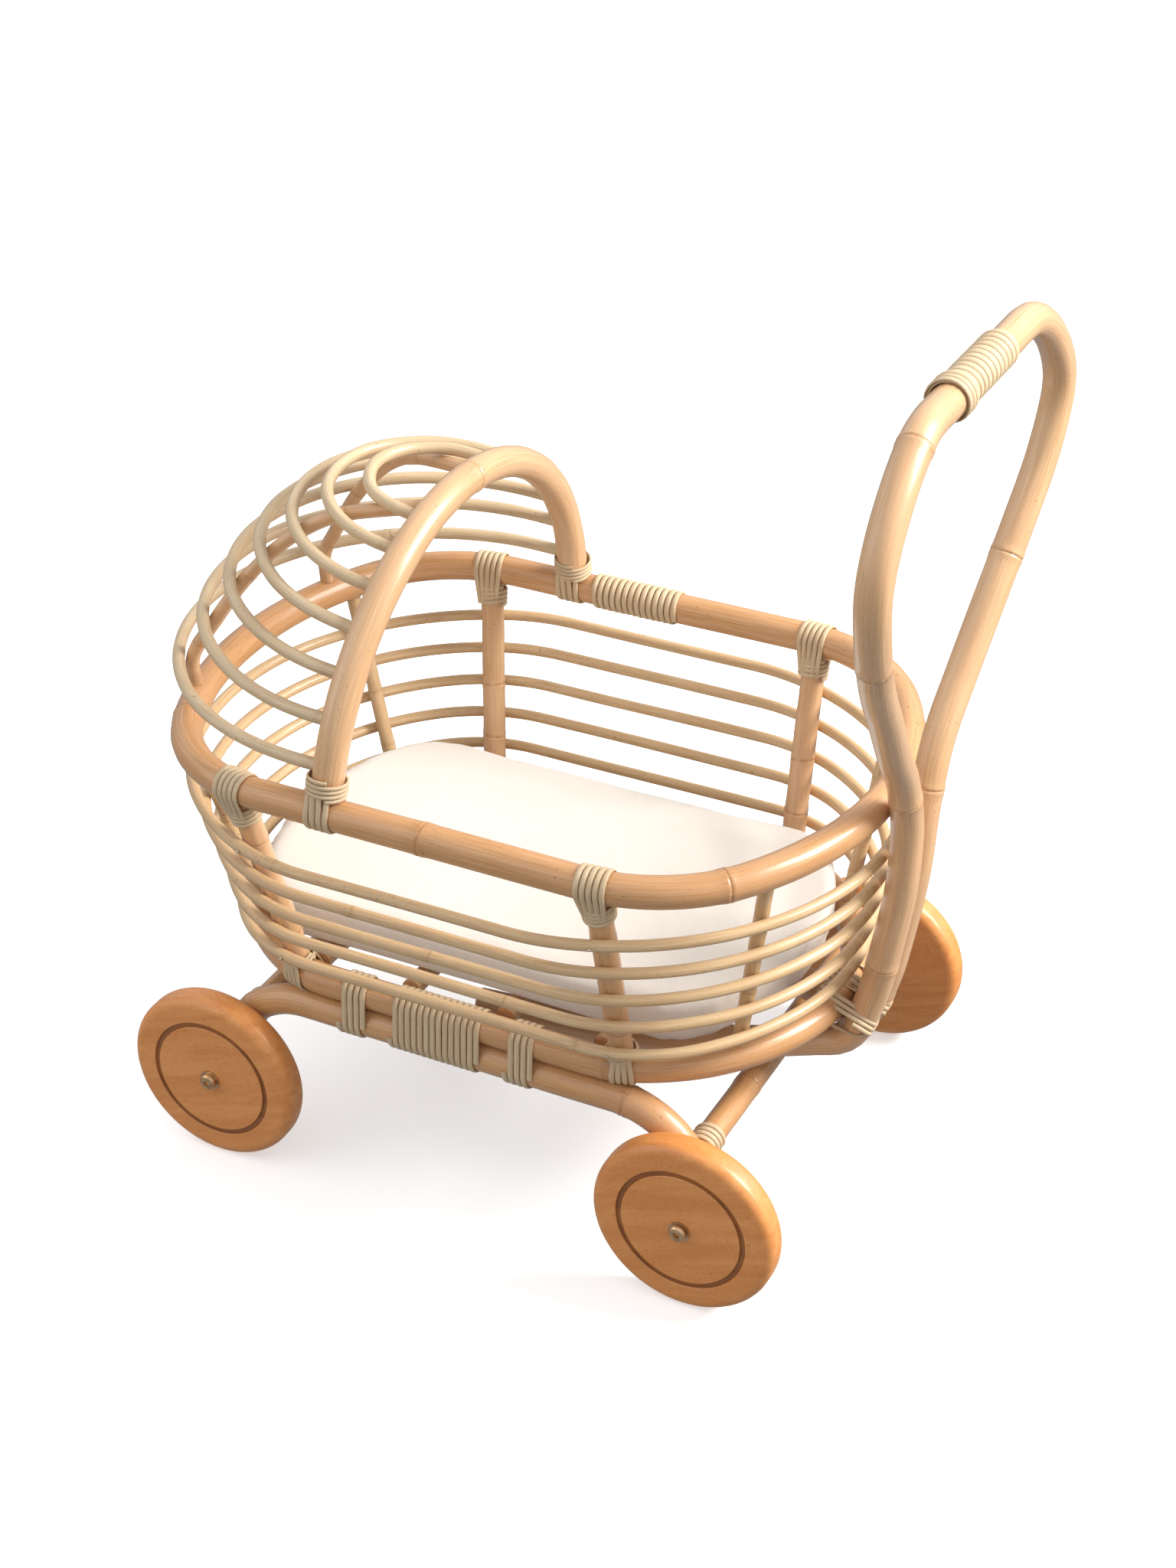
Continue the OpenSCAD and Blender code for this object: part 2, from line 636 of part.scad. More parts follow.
// Wraps that hold a rail under the base ring: a long one in the middle and a short one on each side
module rail_wraps(side) {
    color(cane) placed() for (w = [[0, rail_wrap_l], [-rail_wrap_l * 0.95, lash_w * 0.7], [rail_wrap_l * 0.95, lash_w * 0.7]])
        translate([w[0] - w[1] / 2 - 12, 0, 0]) difference() {
            hull() {
                translate([0, side * base_side, base_h]) rotate([0, 90, 0])
                    cylinder(h = w[1], r = pole_r + wrap_gap + cane_t, $fn = 32);
                translate([0, side * rail_y, rail_z]) rotate([0, 90, 0])
                    cylinder(h = w[1], r = pole_r + wrap_gap + cane_t, $fn = 32);
            }
            translate([-1, side * base_side, base_h]) rotate([0, 90, 0])
                cylinder(h = w[1] + 2, r = pole_r + wrap_gap);
            translate([-1, side * rail_y, rail_z]) rotate([0, 90, 0])
                cylinder(h = w[1] + 2, r = pole_r + wrap_gap);
        }
}

module wrap_rim_joint() {
    a = [-rim_line[5], rim_side, rim_h];
    b = [rim_line[2], rim_side, rim_h];
    start = rim_line[5] - arch_x + lash_w / 2 + 6;
    color(cane) placed() sleeve(a, b, start, start + rim_wrap_l, pole_r);
}

module wraps_cross_poles() {
    reach = rail_y - pole_r - gap;
    color(cane) placed() for (s = [-1, 1], side = [-1, 1])
        sleeve([s * cross_x, side * reach, cross_z], [s * cross_x, 0, cross_z], 0.5, lash_w * 0.7, cross_r);
}

// A band round both handle legs, just above the base ring
leg_lash = 18;
module lash_handle_foot() {
    inner = pole_r + step_gap;
    ends = [for (side = [-1, 1]) [[leg_x + 4.7, side * leg_y, leg_z(0.08)], [leg_x + 13, side * leg_y, leg_z(0.347)]]];
    color(cane) placed() difference() {
        hull() for (e = ends) leg_bar(e, 3, 3 + leg_lash, inner + cane_t);
        for (e = ends) leg_bar(e, 1, 5 + leg_lash, inner);
    }
}
module leg_bar(e, from, to, r) {
    v = unit(e[1] - e[0]);
    bar(e[0] + v * from, e[0] + v * to, r);
}

module wrap_grip() {
    top = HANDLE_HALF[0];
    color(cane) placed() sleeve(top - [0, grip_l / 2, 0], top + [0, grip_l / 2, 0], 0, grip_l, pole_r + 0.35);
}

// Small nails that hold the first and last rods to the posts
nail_r = 1;
module rod_nails() {
    color(zinc) placed() for (front = [false, true], side = [-1, 1], i = [0, rods - 1]) {
        x = post_at(front, rod_z(i))[0];
        translate([x, side * (end_y(rod_line(i), x) + rod_r + nail_r + wrap_gap), rod_z(i)]) sphere(r = nail_r);
    }
}

rim_pole();
base_ring();
post(false, -1);  // rear_post_left
post(false, 1);  // rear_post_right
post(true, -1);  // front_post_left
post(true, 1);  // front_post_right
uprights();
hood_arch();
hood_rib(-1);  // hood_rib_left
hood_rib(1);  // hood_rib_right
push_handle();
side_rail(-1);  // side_rail_left
side_rail(1);  // side_rail_right
cross_pole(true);  // cross_pole_front
cross_pole(false);  // cross_pole_rear
mattress();
wheel(true, -1);  // wheel_front_left
wheel(true, 1);  // wheel_front_right
wheel(false, -1);  // wheel_rear_left
wheel(false, 1);  // wheel_rear_right
bolt(true, -1);  // bolt_front_left
bolt(true, 1);  // bolt_front_right
bolt(false, -1);  // bolt_rear_left
bolt(false, 1);  // bolt_rear_right
bolt_washers();
spacer_washers();
axle_nuts();
post_lash(false, -1);  // lash_rear_left
post_lash(false, 1);  // lash_rear_right
post_lash(true, -1);  // lash_front_left
post_lash(true, 1);  // lash_front_right
arch_lash(-1);  // lash_arch_left
arch_lash(1);  // lash_arch_right
lash_post_feet();
rail_wraps(-1);  // wraps_rail_left
rail_wraps(1);  // wraps_rail_right
wrap_rim_joint();
wraps_cross_poles();
lash_handle_foot();
wrap_grip();
rod_nails();
for (i = [1:rods]) side_rod(i - 1);
for (i = [1:loops]) hood_loop(i - 1);
for (i = [1:slats]) slat(i - 1);
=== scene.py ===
import bpy
import math
import random
import numpy as np
from mathutils import Matrix, Vector


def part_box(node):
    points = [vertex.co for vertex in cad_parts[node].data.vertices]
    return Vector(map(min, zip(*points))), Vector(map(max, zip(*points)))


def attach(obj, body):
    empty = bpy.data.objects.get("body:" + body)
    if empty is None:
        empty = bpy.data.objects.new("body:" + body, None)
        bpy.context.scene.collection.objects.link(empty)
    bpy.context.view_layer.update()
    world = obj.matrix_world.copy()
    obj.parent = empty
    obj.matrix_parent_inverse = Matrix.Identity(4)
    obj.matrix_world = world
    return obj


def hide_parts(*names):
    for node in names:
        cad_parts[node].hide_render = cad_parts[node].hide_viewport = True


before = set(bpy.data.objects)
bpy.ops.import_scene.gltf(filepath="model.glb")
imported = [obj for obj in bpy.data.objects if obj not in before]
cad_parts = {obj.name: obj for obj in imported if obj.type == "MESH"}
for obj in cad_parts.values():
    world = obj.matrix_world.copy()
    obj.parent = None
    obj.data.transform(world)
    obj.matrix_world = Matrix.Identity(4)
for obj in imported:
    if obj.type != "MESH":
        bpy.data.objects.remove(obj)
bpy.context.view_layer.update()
bpy.ops.object.select_all(action="DESELECT")
scene = bpy.context.scene

# The basket's middle along X: the rim pole is even about it
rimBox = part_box("rim_pole")
shiftX = (rimBox[0][0] + rimBox[1][0]) / 2

cameraSet = {"turn": 27.43, "tilt": 31.62, "roll": -0.88, "lens": 62.586, "place": (0.6953, -1.2905, 1.1395)}


def addCamera(s):
    data = bpy.data.cameras.new("camera")
    data.lens, data.sensor_width, data.clip_start, data.clip_end = s["lens"], 36, 0.05, 50
    turn, tilt, roll = (math.radians(s[k]) for k in ("turn", "tilt", "roll"))
    back = Vector((math.sin(turn) * math.cos(tilt), -math.cos(turn) * math.cos(tilt), math.sin(tilt)))
    right = Vector((math.cos(turn), math.sin(turn), 0))
    up = back.cross(right)
    across = right * math.cos(roll) + up * math.sin(roll)
    above = up * math.cos(roll) - right * math.sin(roll)
    at = Vector(s["place"]) + Vector((shiftX, 0, 0))
    camera = bpy.data.objects.new("camera", data)
    bpy.context.collection.objects.link(camera)
    camera.matrix_world = Matrix([(across[i], above[i], back[i], at[i]) for i in range(3)] + [(0, 0, 0, 1)])
    scene.camera = camera


addCamera(cameraSet)


# Small helpers
def pick(obj):
    bpy.ops.object.select_all(action="DESELECT")
    obj.select_set(True)
    bpy.context.view_layer.objects.active = obj


def paint(obj, material):
    obj.data.materials.clear()
    obj.data.materials.append(material)


# Body and the CAD nodes that a piece stands for: it hangs from the body, and those nodes are hidden
def settle(obj, slotName, body, *nodes):
    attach(obj, body)
    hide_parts(*nodes)
    return obj


def finish(obj, material, slotName, *nodes):
    paint(obj, material)
    return settle(obj, slotName, "pram", *nodes)


def unit(v):
    return v / np.linalg.norm(v)


def mix(a, b, t):
    return a + (b - a) * t


def lengths(points):
    return np.concatenate([[0], np.cumsum(np.linalg.norm(np.diff(points, axis=0), axis=1))])


def atLength(points, places):
    run = lengths(points)
    return np.stack([np.interp(places, run, points[:, k]) for k in range(3)], axis=1)


# A shape's place in the basket's frame, in millimetres, as metres in the model's frame
def metres(points):
    return np.array(points, float) / 1000 + np.array([shiftX, 0, 0])


# An object of straight curve pieces through points in metres
def polyCurve(name, points, closed=False, radii=None, **settings):
    data = bpy.data.curves.new(name, "CURVE")
    for key, value in settings.items():
        setattr(data, key, value)
    spline = data.splines.new("POLY")
    count = len(points)
    spline.points.add(count - 1)
    spline.points.foreach_set("co", np.hstack([points, np.ones((count, 1))]).astype(np.float32).ravel())
    spline.points.foreach_set("radius", np.ones(count, np.float32) if radii is None else radii.astype(np.float32))
    spline.use_cyclic_u = closed
    obj = bpy.data.objects.new(name, data)
    bpy.context.collection.objects.link(obj)
    return obj


# The active mesh: doubles welded, normals outwards, smooth up to an angle
def cleanMesh(smoothTo, weld=0.00001):
    bpy.ops.object.mode_set(mode="EDIT")
    bpy.ops.mesh.select_all(action="SELECT")
    if weld:
        bpy.ops.mesh.remove_doubles(threshold=weld)
    bpy.ops.mesh.normals_make_consistent(inside=False)
    bpy.ops.object.mode_set(mode="OBJECT")
    if smoothTo:
        bpy.ops.object.shade_smooth_by_angle(angle=math.radians(smoothTo))


def applied(obj, name, kind, **settings):
    change = obj.modifiers.new(name, kind)
    for key, value in settings.items():
        setattr(change, key, value)
    bpy.ops.object.modifier_apply(modifier=name)


def cutAway(obj, tool):
    pick(obj)
    applied(obj, "cut", "BOOLEAN", operation="DIFFERENCE", solver="EXACT", object=tool)
    bpy.data.objects.remove(tool)


# Materials
def linear(hexColour):
    values = [int(hexColour[i:i + 2], 16) / 255 for i in (1, 3, 5)]
    return [v / 12.92 if v < 0.04045 else ((v + 0.055) / 1.055) ** 2.4 for v in values] + [1]


# A node's inputs, linked from sockets or set to values, where a colour may be a hex string
def feed(tree, node, inputs):
    for key, value in inputs.items():
        if isinstance(value, bpy.types.NodeSocket):
            tree.links.new(value, node.inputs[key])
        else:
            node.inputs[key].default_value = linear(value) if isinstance(value, str) else value


def addNode(tree, kind, settings=None, inputs=None):
    node = tree.nodes.new(kind)
    for key, value in (settings or {}).items():
        setattr(node, key, value)
    feed(tree, node, inputs or {})
    return node


def calc(tree, operation, *values, clamp=False):
    settings = {"operation": operation, "use_clamp": clamp}
    return addNode(tree, "ShaderNodeMath", settings, dict(enumerate(values))).outputs[0]


def times(tree, a, b):
    return calc(tree, "MULTIPLY", a, b)


def noise(tree, vector, scale, detail, **more):
    inputs = {"Vector": vector, "Scale": scale, "Detail": detail, **more}
    return addNode(tree, "ShaderNodeTexNoise", None, inputs).outputs[0]


def stretch(tree, vector, by):
    return addNode(tree, "ShaderNodeVectorMath", {"operation": "MULTIPLY"}, {0: vector, 1: by}).outputs[0]


def blendColour(tree, factor, a, b):
    return addNode(tree, "ShaderNodeMix", {"data_type": "RGBA"}, {0: factor, 6: a, 7: b}).outputs[2]


def addBump(tree, shader, strength, distance, height):
    bump = addNode(tree, "ShaderNodeBump", None, {"Strength": strength, "Distance": distance, "Height": height})
    tree.links.new(bump.outputs[0], shader.inputs["Normal"])


def stepBetween(tree, value, low, high, outLow=0.0, outHigh=1.0):
    node = addNode(tree, "ShaderNodeMapRange", {"interpolation_type": "SMOOTHSTEP"},
                   {"Value": value, "From Min": low, "From Max": high, "To Min": outLow, "To Max": outHigh})
    return node.outputs[0]


def newGroup(name, inputs, outputs):
    tree = bpy.data.node_groups.new(name, "ShaderNodeTree")
    for label, kind, value in inputs:
        socket = tree.interface.new_socket(label, in_out="INPUT", socket_type="NodeSocket" + kind)
        if value is not None:
            socket.default_value = value
    for label in outputs:
        tree.interface.new_socket(label, in_out="OUTPUT", socket_type="NodeSocketFloat")
    return tree, tree.nodes.new("NodeGroupInput"), tree.nodes.new("NodeGroupOutput")


# Lengthwise fibres on a bent pole or strip: U is metres along it, V goes once round it
def makeFibreGroup():
    tree, put, out = newGroup(
        "lengthwiseFibre", [("UV", "Vector", None), ("Around", "Float", 12.0), ("Along", "Float", 30.0)],
        ["Fibre", "Streak", "Fleck", "Height"])
    split = addNode(tree, "ShaderNodeSeparateXYZ", None, {0: put.outputs["UV"]})
    angle = times(tree, split.outputs[1], 2 * math.pi)
    ringX = times(tree, calc(tree, "COSINE", angle), put.outputs["Around"])
    ringY = times(tree, calc(tree, "SINE", angle), put.outputs["Around"])
    run = times(tree, split.outputs[0], put.outputs["Along"])
    fine = addNode(tree, "ShaderNodeCombineXYZ", None, {0: run, 1: ringX, 2: ringY}).outputs[0]
    fibre = noise(tree, fine, 1.0, 3.0)
    streak = noise(tree, stretch(tree, fine, (0.35, 0.22, 0.22)), 1.0, 2.0)
    pores = noise(tree, stretch(tree, fine, (9.0, 1.6, 1.6)), 1.0, 1.0)
    fleck = stepBetween(tree, pores, 0.64, 0.74)
    feed(tree, out, {"Fibre": stepBetween(tree, fibre, 0.3, 0.7), "Streak": stepBetween(tree, streak, 0.32, 0.68),
                     "Fleck": fleck, "Height": calc(tree, "SUBTRACT", fibre, times(tree, fleck, 0.6))})
    return tree


# Broad uneven colour and small dark specks, from the place on the object
def makeMottleGroup():
    tree, put, out = newGroup("mottle", [("Place", "Vector", None), ("Size", "Float", 22.0)], ["Blotch", "Speck"])
    broad = noise(tree, put.outputs["Place"], put.outputs["Size"], 4.0, Roughness=0.6)
    small = noise(tree, put.outputs["Place"], 420.0, 2.0)
    patch = noise(tree, put.outputs["Place"], 38.0, 1.0)
    speck = times(tree, stepBetween(tree, small, 0.66, 0.72), stepBetween(tree, patch, 0.5, 0.66))
    feed(tree, out, {"Blotch": stepBetween(tree, broad, 0.33, 0.67), "Speck": speck})
    return tree


# A plain weave over two directions: over and under threads with uneven thickness
def makeWeaveGroup():
    tree, put, out = newGroup(
        "plainWeave", [("A", "Float", 0.0), ("B", "Float", 0.0), ("Threads", "Float", 1000.0)], ["Height", "Slub"])
    spot = addNode(tree, "ShaderNodeCombineXYZ", None, {0: put.outputs["A"], 1: put.outputs["B"]}).outputs[0]
    waver = noise(tree, spot, 260.0, 2.0)
    shift = times(tree, calc(tree, "SUBTRACT", waver, 0.5), 1.6)
    turnEach = times(tree, put.outputs["Threads"], math.pi)
    sinA, sinB = (calc(tree, "SINE", calc(tree, "ADD", times(tree, put.outputs[k], turnEach), shift)) for k in "AB")
    side = stepBetween(tree, times(tree, sinA, sinB), -0.2, 0.2)
    warp = times(tree, calc(tree, "ABSOLUTE", sinA), side)
    weft = times(tree, calc(tree, "ABSOLUTE", sinB), calc(tree, "SUBTRACT", 1.0, side))
    slub = noise(tree, stretch(tree, spot, (40.0, 900.0, 1.0)), 1.0, 2.0)
    feed(tree, out, {"Height": calc(tree, "ADD", warp, weft), "Slub": stepBetween(tree, slub, 0.3, 0.7)})
    return tree


fibreGroup = makeFibreGroup()
mottleGroup = makeMottleGroup()
weaveGroup = makeWeaveGroup()


def newMaterial(name):
    material = bpy.data.materials.new(name)
    material.use_nodes = True
    tree = material.node_tree
    return material, tree, tree.nodes["Principled BSDF"]


def placed(tree, group, **inputs):
    return addNode(tree, "ShaderNodeGroup", {"node_tree": group}, inputs)


# Rattan pole, rod or split cane: fibres along it, uneven colour, specks and dark rings at its knots
def makePoleMaterial(name, **changes):
    s = {**poleLook, **changes}
    material, tree, shader = newMaterial(name)
    uv = addNode(tree, "ShaderNodeUVMap", {"uv_map": "UVMap"})
    place = addNode(tree, "ShaderNodeTexCoord")
    fibre = placed(tree, fibreGroup, UV=uv.outputs[0], Around=s["around"], Along=s["along"]).outputs
    mottle = placed(tree, mottleGroup, Place=place.outputs["Object"], Size=s["mottle"]).outputs
    knot = addNode(tree, "ShaderNodeAttribute", {"attribute_name": "knot"}).outputs["Fac"]
    colour = blendColour(tree, fibre["Fibre"], s["dark"], s["light"])
    colour = blendColour(tree, times(tree, fibre["Streak"], s["streak"]), colour, s["streakColour"])
    colour = blendColour(tree, times(tree, mottle["Blotch"], s["blotch"]), colour, s["blotchColour"])
    fleck, speck = times(tree, fibre["Fleck"], s["fleck"]), times(tree, mottle["Speck"], s["speck"])
    marks = calc(tree, "ADD", fleck, speck, clamp=True)
    colour = blendColour(tree, marks, colour, s["markColour"])
    ring = calc(tree, "MULTIPLY", knot, s["ring"], clamp=True)
    ring = times(tree, ring, stepBetween(tree, fibre["Streak"], 0.0, 0.8, 0.35, 1.0))
    rough = stepBetween(tree, fibre["Fibre"], 0.0, 1.0, s["rough"] + 0.06, s["rough"] - 0.05)
    feed(tree, shader, {"Base Color": blendColour(tree, ring, colour, s["knotColour"]), "Roughness": rough,
                        "Coat Weight": s["coat"], "Coat Roughness": s["coatRough"], "Specular IOR Level": 0.45})
    addBump(tree, shader, s["bump"], 0.0004, calc(tree, "SUBTRACT", fibre["Height"], times(tree, knot, 0.8)))
    return material


poleLook = {"around": 26.0, "along": 30.0, "mottle": 20.0, "light": "#D8A673", "dark": "#B27E4A", "streak": 0.3,
            "streakColour": "#C4925F", "blotch": 0.5, "blotchColour": "#CB9A70", "fleck": 0.3, "speck": 0.75,
            "markColour": "#8A5C34", "ring": 0.8, "knotColour": "#A06C3C", "rough": 0.34, "coat": 0.5, "coatRough": 0.2,
            "bump": 0.3}
rattan = makePoleMaterial("rattan")
paleRattan = makePoleMaterial(
    "paleRattan", light="#E3BC91", dark="#C2966A", streakColour="#CFA678", blotchColour="#D3A67E", markColour="#9C7046",
    fleck=0.22, speck=0.6, rough=0.3, coat=0.6)
peeledRod = makePoleMaterial(
    "peeledRod", around=9.0, along=36.0, light="#DFC39A", dark="#C09E72", streak=0.45, streakColour="#C9A67A",
    blotch=0.35, blotchColour="#C79F74", markColour="#8A6440", knotColour="#A57C50", rough=0.38, coat=0.3, bump=0.4)
loopRod = makePoleMaterial(
    "loopRod", around=9.0, along=36.0, light="#DDC8A6", dark="#BFA580", streak=0.45, streakColour="#CDB48E",
    blotch=0.4, blotchColour="#C0A27C", markColour="#8A6A48", knotColour="#A8815A", rough=0.38, coat=0.3, bump=0.4)
splitCane = makePoleMaterial(
    "splitCane", around=6.0, along=46.0, mottle=60.0, light="#E0CDAE", dark="#C0A682", streak=0.45,
    streakColour="#CDB592", blotch=0.45, blotchColour="#C9AB84", fleck=0.25, speck=0.35, markColour="#9A7B56",
    knotColour="#B89870", rough=0.55, coat=0.05, bump=0.6)


# Turned beech: soft grain across the wheel and short fine pores
def makeBeech(name, light, dark, bumpStrength):
    material, tree, shader = newMaterial(name)
    place = addNode(tree, "ShaderNodeTexCoord")
    mapped = addNode(tree, "ShaderNodeMapping", None,
                     {"Vector": place.outputs["Object"], "Rotation": (0, 0.35, 0.1)}).outputs[0]
    grain = noise(tree, stretch(tree, mapped, (9.0, 120.0, 120.0)), 1.0, 4.0, Distortion=0.6)
    pores = noise(tree, stretch(tree, mapped, (330.0, 1500.0, 1500.0)), 1.0, 1.0)
    mottle = placed(tree, mottleGroup, Place=place.outputs["Object"], Size=16.0).outputs
    pore = stepBetween(tree, pores, 0.6, 0.72)
    colour = blendColour(tree, stepBetween(tree, grain, 0.3, 0.7), dark, light)
    colour = blendColour(tree, times(tree, mottle["Blotch"], 0.35), colour, dark)
    feed(tree, shader, {"Base Color": blendColour(tree, times(tree, pore, 0.4), colour, "#8C5424"),
                        "Roughness": stepBetween(tree, grain, 0.2, 0.8, 0.5, 0.4),
                        "Coat Weight": 0.3, "Coat Roughness": 0.25})
    addBump(tree, shader, bumpStrength, 0.0002, calc(tree, "SUBTRACT", times(tree, grain, 0.4), pore))
    return material


beech = makeBeech("beech", "#E29A58", "#D38745", 0.3)
# A darker beech for the wheel groove's walls and floor: painted shade in the groove
beechGroovePaintedShade = makeBeech("beechGroovePaintedShade", "#A8682F", "#905627", 0.5)


# The weave is laid on from three sides, each as strong as the cloth faces it
def makeLinen():
    material, tree, shader = newMaterial("linen")
    place = addNode(tree, "ShaderNodeTexCoord")
    spot = addNode(tree, "ShaderNodeSeparateXYZ", None, {0: place.outputs["Object"]}).outputs
    facing = addNode(tree, "ShaderNodeNewGeometry")
    way = addNode(tree, "ShaderNodeSeparateXYZ", None, {0: facing.outputs["Normal"]}).outputs
    share = [calc(tree, "POWER", calc(tree, "ABSOLUTE", way[i]), 4.0) for i in range(3)]
    total = calc(tree, "ADD", calc(tree, "ADD", share[0], share[1]), share[2])
    heights, slubs = [], []
    for across, (a, b) in enumerate(((1, 2), (0, 2), (0, 1))):
        weave = placed(tree, weaveGroup, A=spot[a], B=spot[b], Threads=1150.0).outputs
        part = calc(tree, "DIVIDE", share[across], total)
        heights.append(times(tree, weave["Height"], part))
        slubs.append(times(tree, weave["Slub"], part))
    height, slub = (calc(tree, "ADD", calc(tree, "ADD", k[0], k[1]), k[2]) for k in (heights, slubs))
    mottle = placed(tree, mottleGroup, Place=place.outputs["Object"], Size=14.0).outputs
    # The weave's hollows between threads are painted darker than the thread tops: painted shade
    colour = blendColour(tree, height, "#DDD2C6", "#F6F2EC")
    colour = blendColour(tree, times(tree, slub, 0.25), colour, "#E6DCCF")
    colour = blendColour(tree, times(tree, mottle["Blotch"], 0.2), colour, "#EBE3D9")
    feed(tree, shader, {"Base Color": colour, "Roughness": stepBetween(tree, height, 0.0, 1.0, 0.95, 0.82),
                        "Sheen Weight": 0.25, "Sheen Roughness": 0.5})
    addBump(tree, shader, 0.55, 0.0003, height)
    return material


linen = makeLinen()


# Zinc plate: uneven warm tints and fine turning marks
def makeZinc(name, light, dark, roughness):
    material, tree, shader = newMaterial(name)
    place = addNode(tree, "ShaderNodeTexCoord").outputs["Object"]
    cloud = noise(tree, place, 240.0, 3.0)
    marks = noise(tree, stretch(tree, place, (400.0, 4000.0, 2500.0)), 1.0, 1.0)
    feed(tree, shader, {"Base Color": blendColour(tree, stepBetween(tree, cloud, 0.35, 0.65), dark, light),
                        "Roughness": stepBetween(tree, marks, 0.3, 0.7, roughness - 0.08, roughness + 0.08),
                        "Metallic": 1.0})
    addBump(tree, shader, 0.15, 0.0001, marks)
    return material


zinc = makeZinc("zinc", "#E2C196", "#C79A74", 0.3)
washerZinc = makeZinc("washerZinc", "#D9D0BA", "#B4AA98", 0.24)
print("materials made")


# Poles: radius of each kind, in metres
poleSet = {"rim": 0.010, "post": 0.00775, "rod": 0.00375, "loop": 0.004, "rib": 0.0045, "upright": 0.00475,
           "slat": 0.0065, "cross": 0.0085}


nearKnot = (-7, -5, -3.5, -2.4, -1.6, -1, -0.5, 0, 0.5, 1, 1.6, 2.4, 3.5, 5, 7)


# A bent rattan pole along points, with a raised ring and a fine groove at each knot (metres along it)
def makePole(name, points, radius, sides=16, closed=False, knots=(), step=0.005, wobble=0.00012, seed=1):
    rng = random.Random(seed)
    run = lengths(points)[-1]
    places = list(np.arange(0, run - step * 0.5, step)) + ([] if closed else [run])
    places = sorted(p for p in places + [k + d / 1000 for k in knots for d in nearKnot] if 0 <= p <= run)
    places = np.array([p for i, p in enumerate(places) if i == 0 or p - places[i - 1] > 0.0003])
    waves = [(rng.randint(2, 7) if closed else rng.uniform(2, 5), rng.uniform(0, 6.28)) for _ in range(9)]
    sway = [sum(np.sin(2 * math.pi * f * places / run + p) for f, p in waves[i:i + 3]) / 3 for i in (0, 3, 6)]
    centre = atLength(points, places) + np.stack(sway, axis=1) * wobble
    size = 1 + 0.012 * sway[1]
    for k in knots:
        size += 0.055 * np.exp(-((places - k) / 0.0035) ** 2) - 0.05 * np.exp(-((places - k) / 0.0006) ** 2)
    obj = polyCurve(name, centre, closed, size, dimensions="3D", bevel_depth=radius, bevel_resolution=sides // 2 - 2,
                    twist_mode="MINIMUM", use_fill_caps=not closed)
    pick(obj)
    bpy.ops.object.convert(target="MESH")
    mesh = obj.data
    mesh.name = name
    # U becomes metres along the pole
    uv = np.zeros(len(mesh.loops) * 2, np.float32)
    mesh.uv_layers[0].data.foreach_get("uv", uv)
    uv[0::2] *= run
    mesh.uv_layers[0].data.foreach_set("uv", uv)
    # A wavy dark line at each knot
    ring = np.arange(len(mesh.vertices))
    along = np.zeros(len(ring))
    inside = ring < len(places) * sides
    along[inside] = places[ring[inside] // sides]
    along[~inside] = run
    angle = 2 * math.pi * (ring % sides) / sides
    dark = np.zeros(len(ring))
    for i, k in enumerate(knots):
        off = along - k - 0.0009 * np.sin(angle * (1 + i % 2) + i) - 0.0003
        dark += 0.6 * np.exp(-(off / 0.0009) ** 2) + 0.22 * np.exp(-((off + 0.003) / 0.006) ** 2)
    dark += np.where(inside, 0, 0 if closed else 0.5)
    mask = mesh.attributes.new("knot", "FLOAT", "POINT")
    mask.data.foreach_set("value", np.clip(dark, 0, 1).astype(np.float32))
    cleanMesh(50)
    return obj


def joined(pieces):
    pick(pieces[0])
    for piece in pieces[1:]:
        piece.select_set(True)
    if len(pieces) > 1:
        bpy.ops.object.join()
    return pieces[0]


# Outlines of the basket, in millimetres: rear and front ends are two corner arcs and one wide arc
def wideArc(side, straight, corner, tip):
    reach = tip - straight
    return (reach * reach + side * side - 2 * side * corner) / (2 * (reach - corner))


def endPoints(side, straight, corner, tip, n=48):
    wide = wideArc(side, straight, corner, tip)
    turnBy = math.atan2(side - corner, straight - (tip - wide))
    a = np.linspace(0, turnBy, n)
    b = np.linspace(turnBy, math.pi / 2, n)[1:]
    return np.concatenate([np.stack([tip - wide + wide * np.cos(a), wide * np.sin(a)], 1),
                           np.stack([straight + corner * np.cos(b), side - corner + corner * np.sin(b)], 1)])


# Closed outline from the rear tip round the right side, as points at one height
def outline(o):
    rear, front = endPoints(*o[1:5]), endPoints(o[1], *o[5:8]) * [-1, 1]
    half = np.concatenate([rear, front[::-1]])
    whole = np.concatenate([half, (half * [1, -1])[::-1][1:]])
    return np.hstack([whole, np.full((len(whole), 1), o[0])])


def halfWidth(o, x):
    side, straight, corner, tip = (o[1], *o[2:5]) if x >= 0 else (o[1], *o[5:8])
    wide, x = wideArc(side, straight, corner, tip), abs(x)
    turnBy = math.atan2(side - corner, straight - (tip - wide))
    if x > tip - wide + wide * math.cos(turnBy):
        return math.sqrt(max(0, wide * wide - (x - tip + wide) ** 2))
    return side if x <= straight else side - corner + math.sqrt(max(0, corner * corner - (x - straight) ** 2))


# Height, half width, then straight, corner and tip behind and in front
rimZ, rimSide, ringZ, ringSide = 289, 160, 139, 129
rimLine = [rimZ, rimSide, 104, 100.8, 223, 112, 96, 223]
baseLine = [ringZ, ringSide, 87.72, 83.85, 200, 90.3, 79.98, 200]
poleR = 10


def rodLine(i):
    t = i / 4
    lo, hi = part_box(f"side_rod_{i + 1}")
    rearTip, frontTip = mix(225, 207, t), mix(235, 206, t)
    rearStraight, frontStraight = mix(60, 90, t), mix(75, 92, t)
    side = hi[1] * 1000 - 3.75 * math.cos(math.radians(22.5))
    return [(lo[2] + hi[2]) * 500, side, rearStraight, 0.82 * (rearTip - rearStraight), rearTip,
            frontStraight, 0.82 * (frontTip - frontStraight), frontTip]


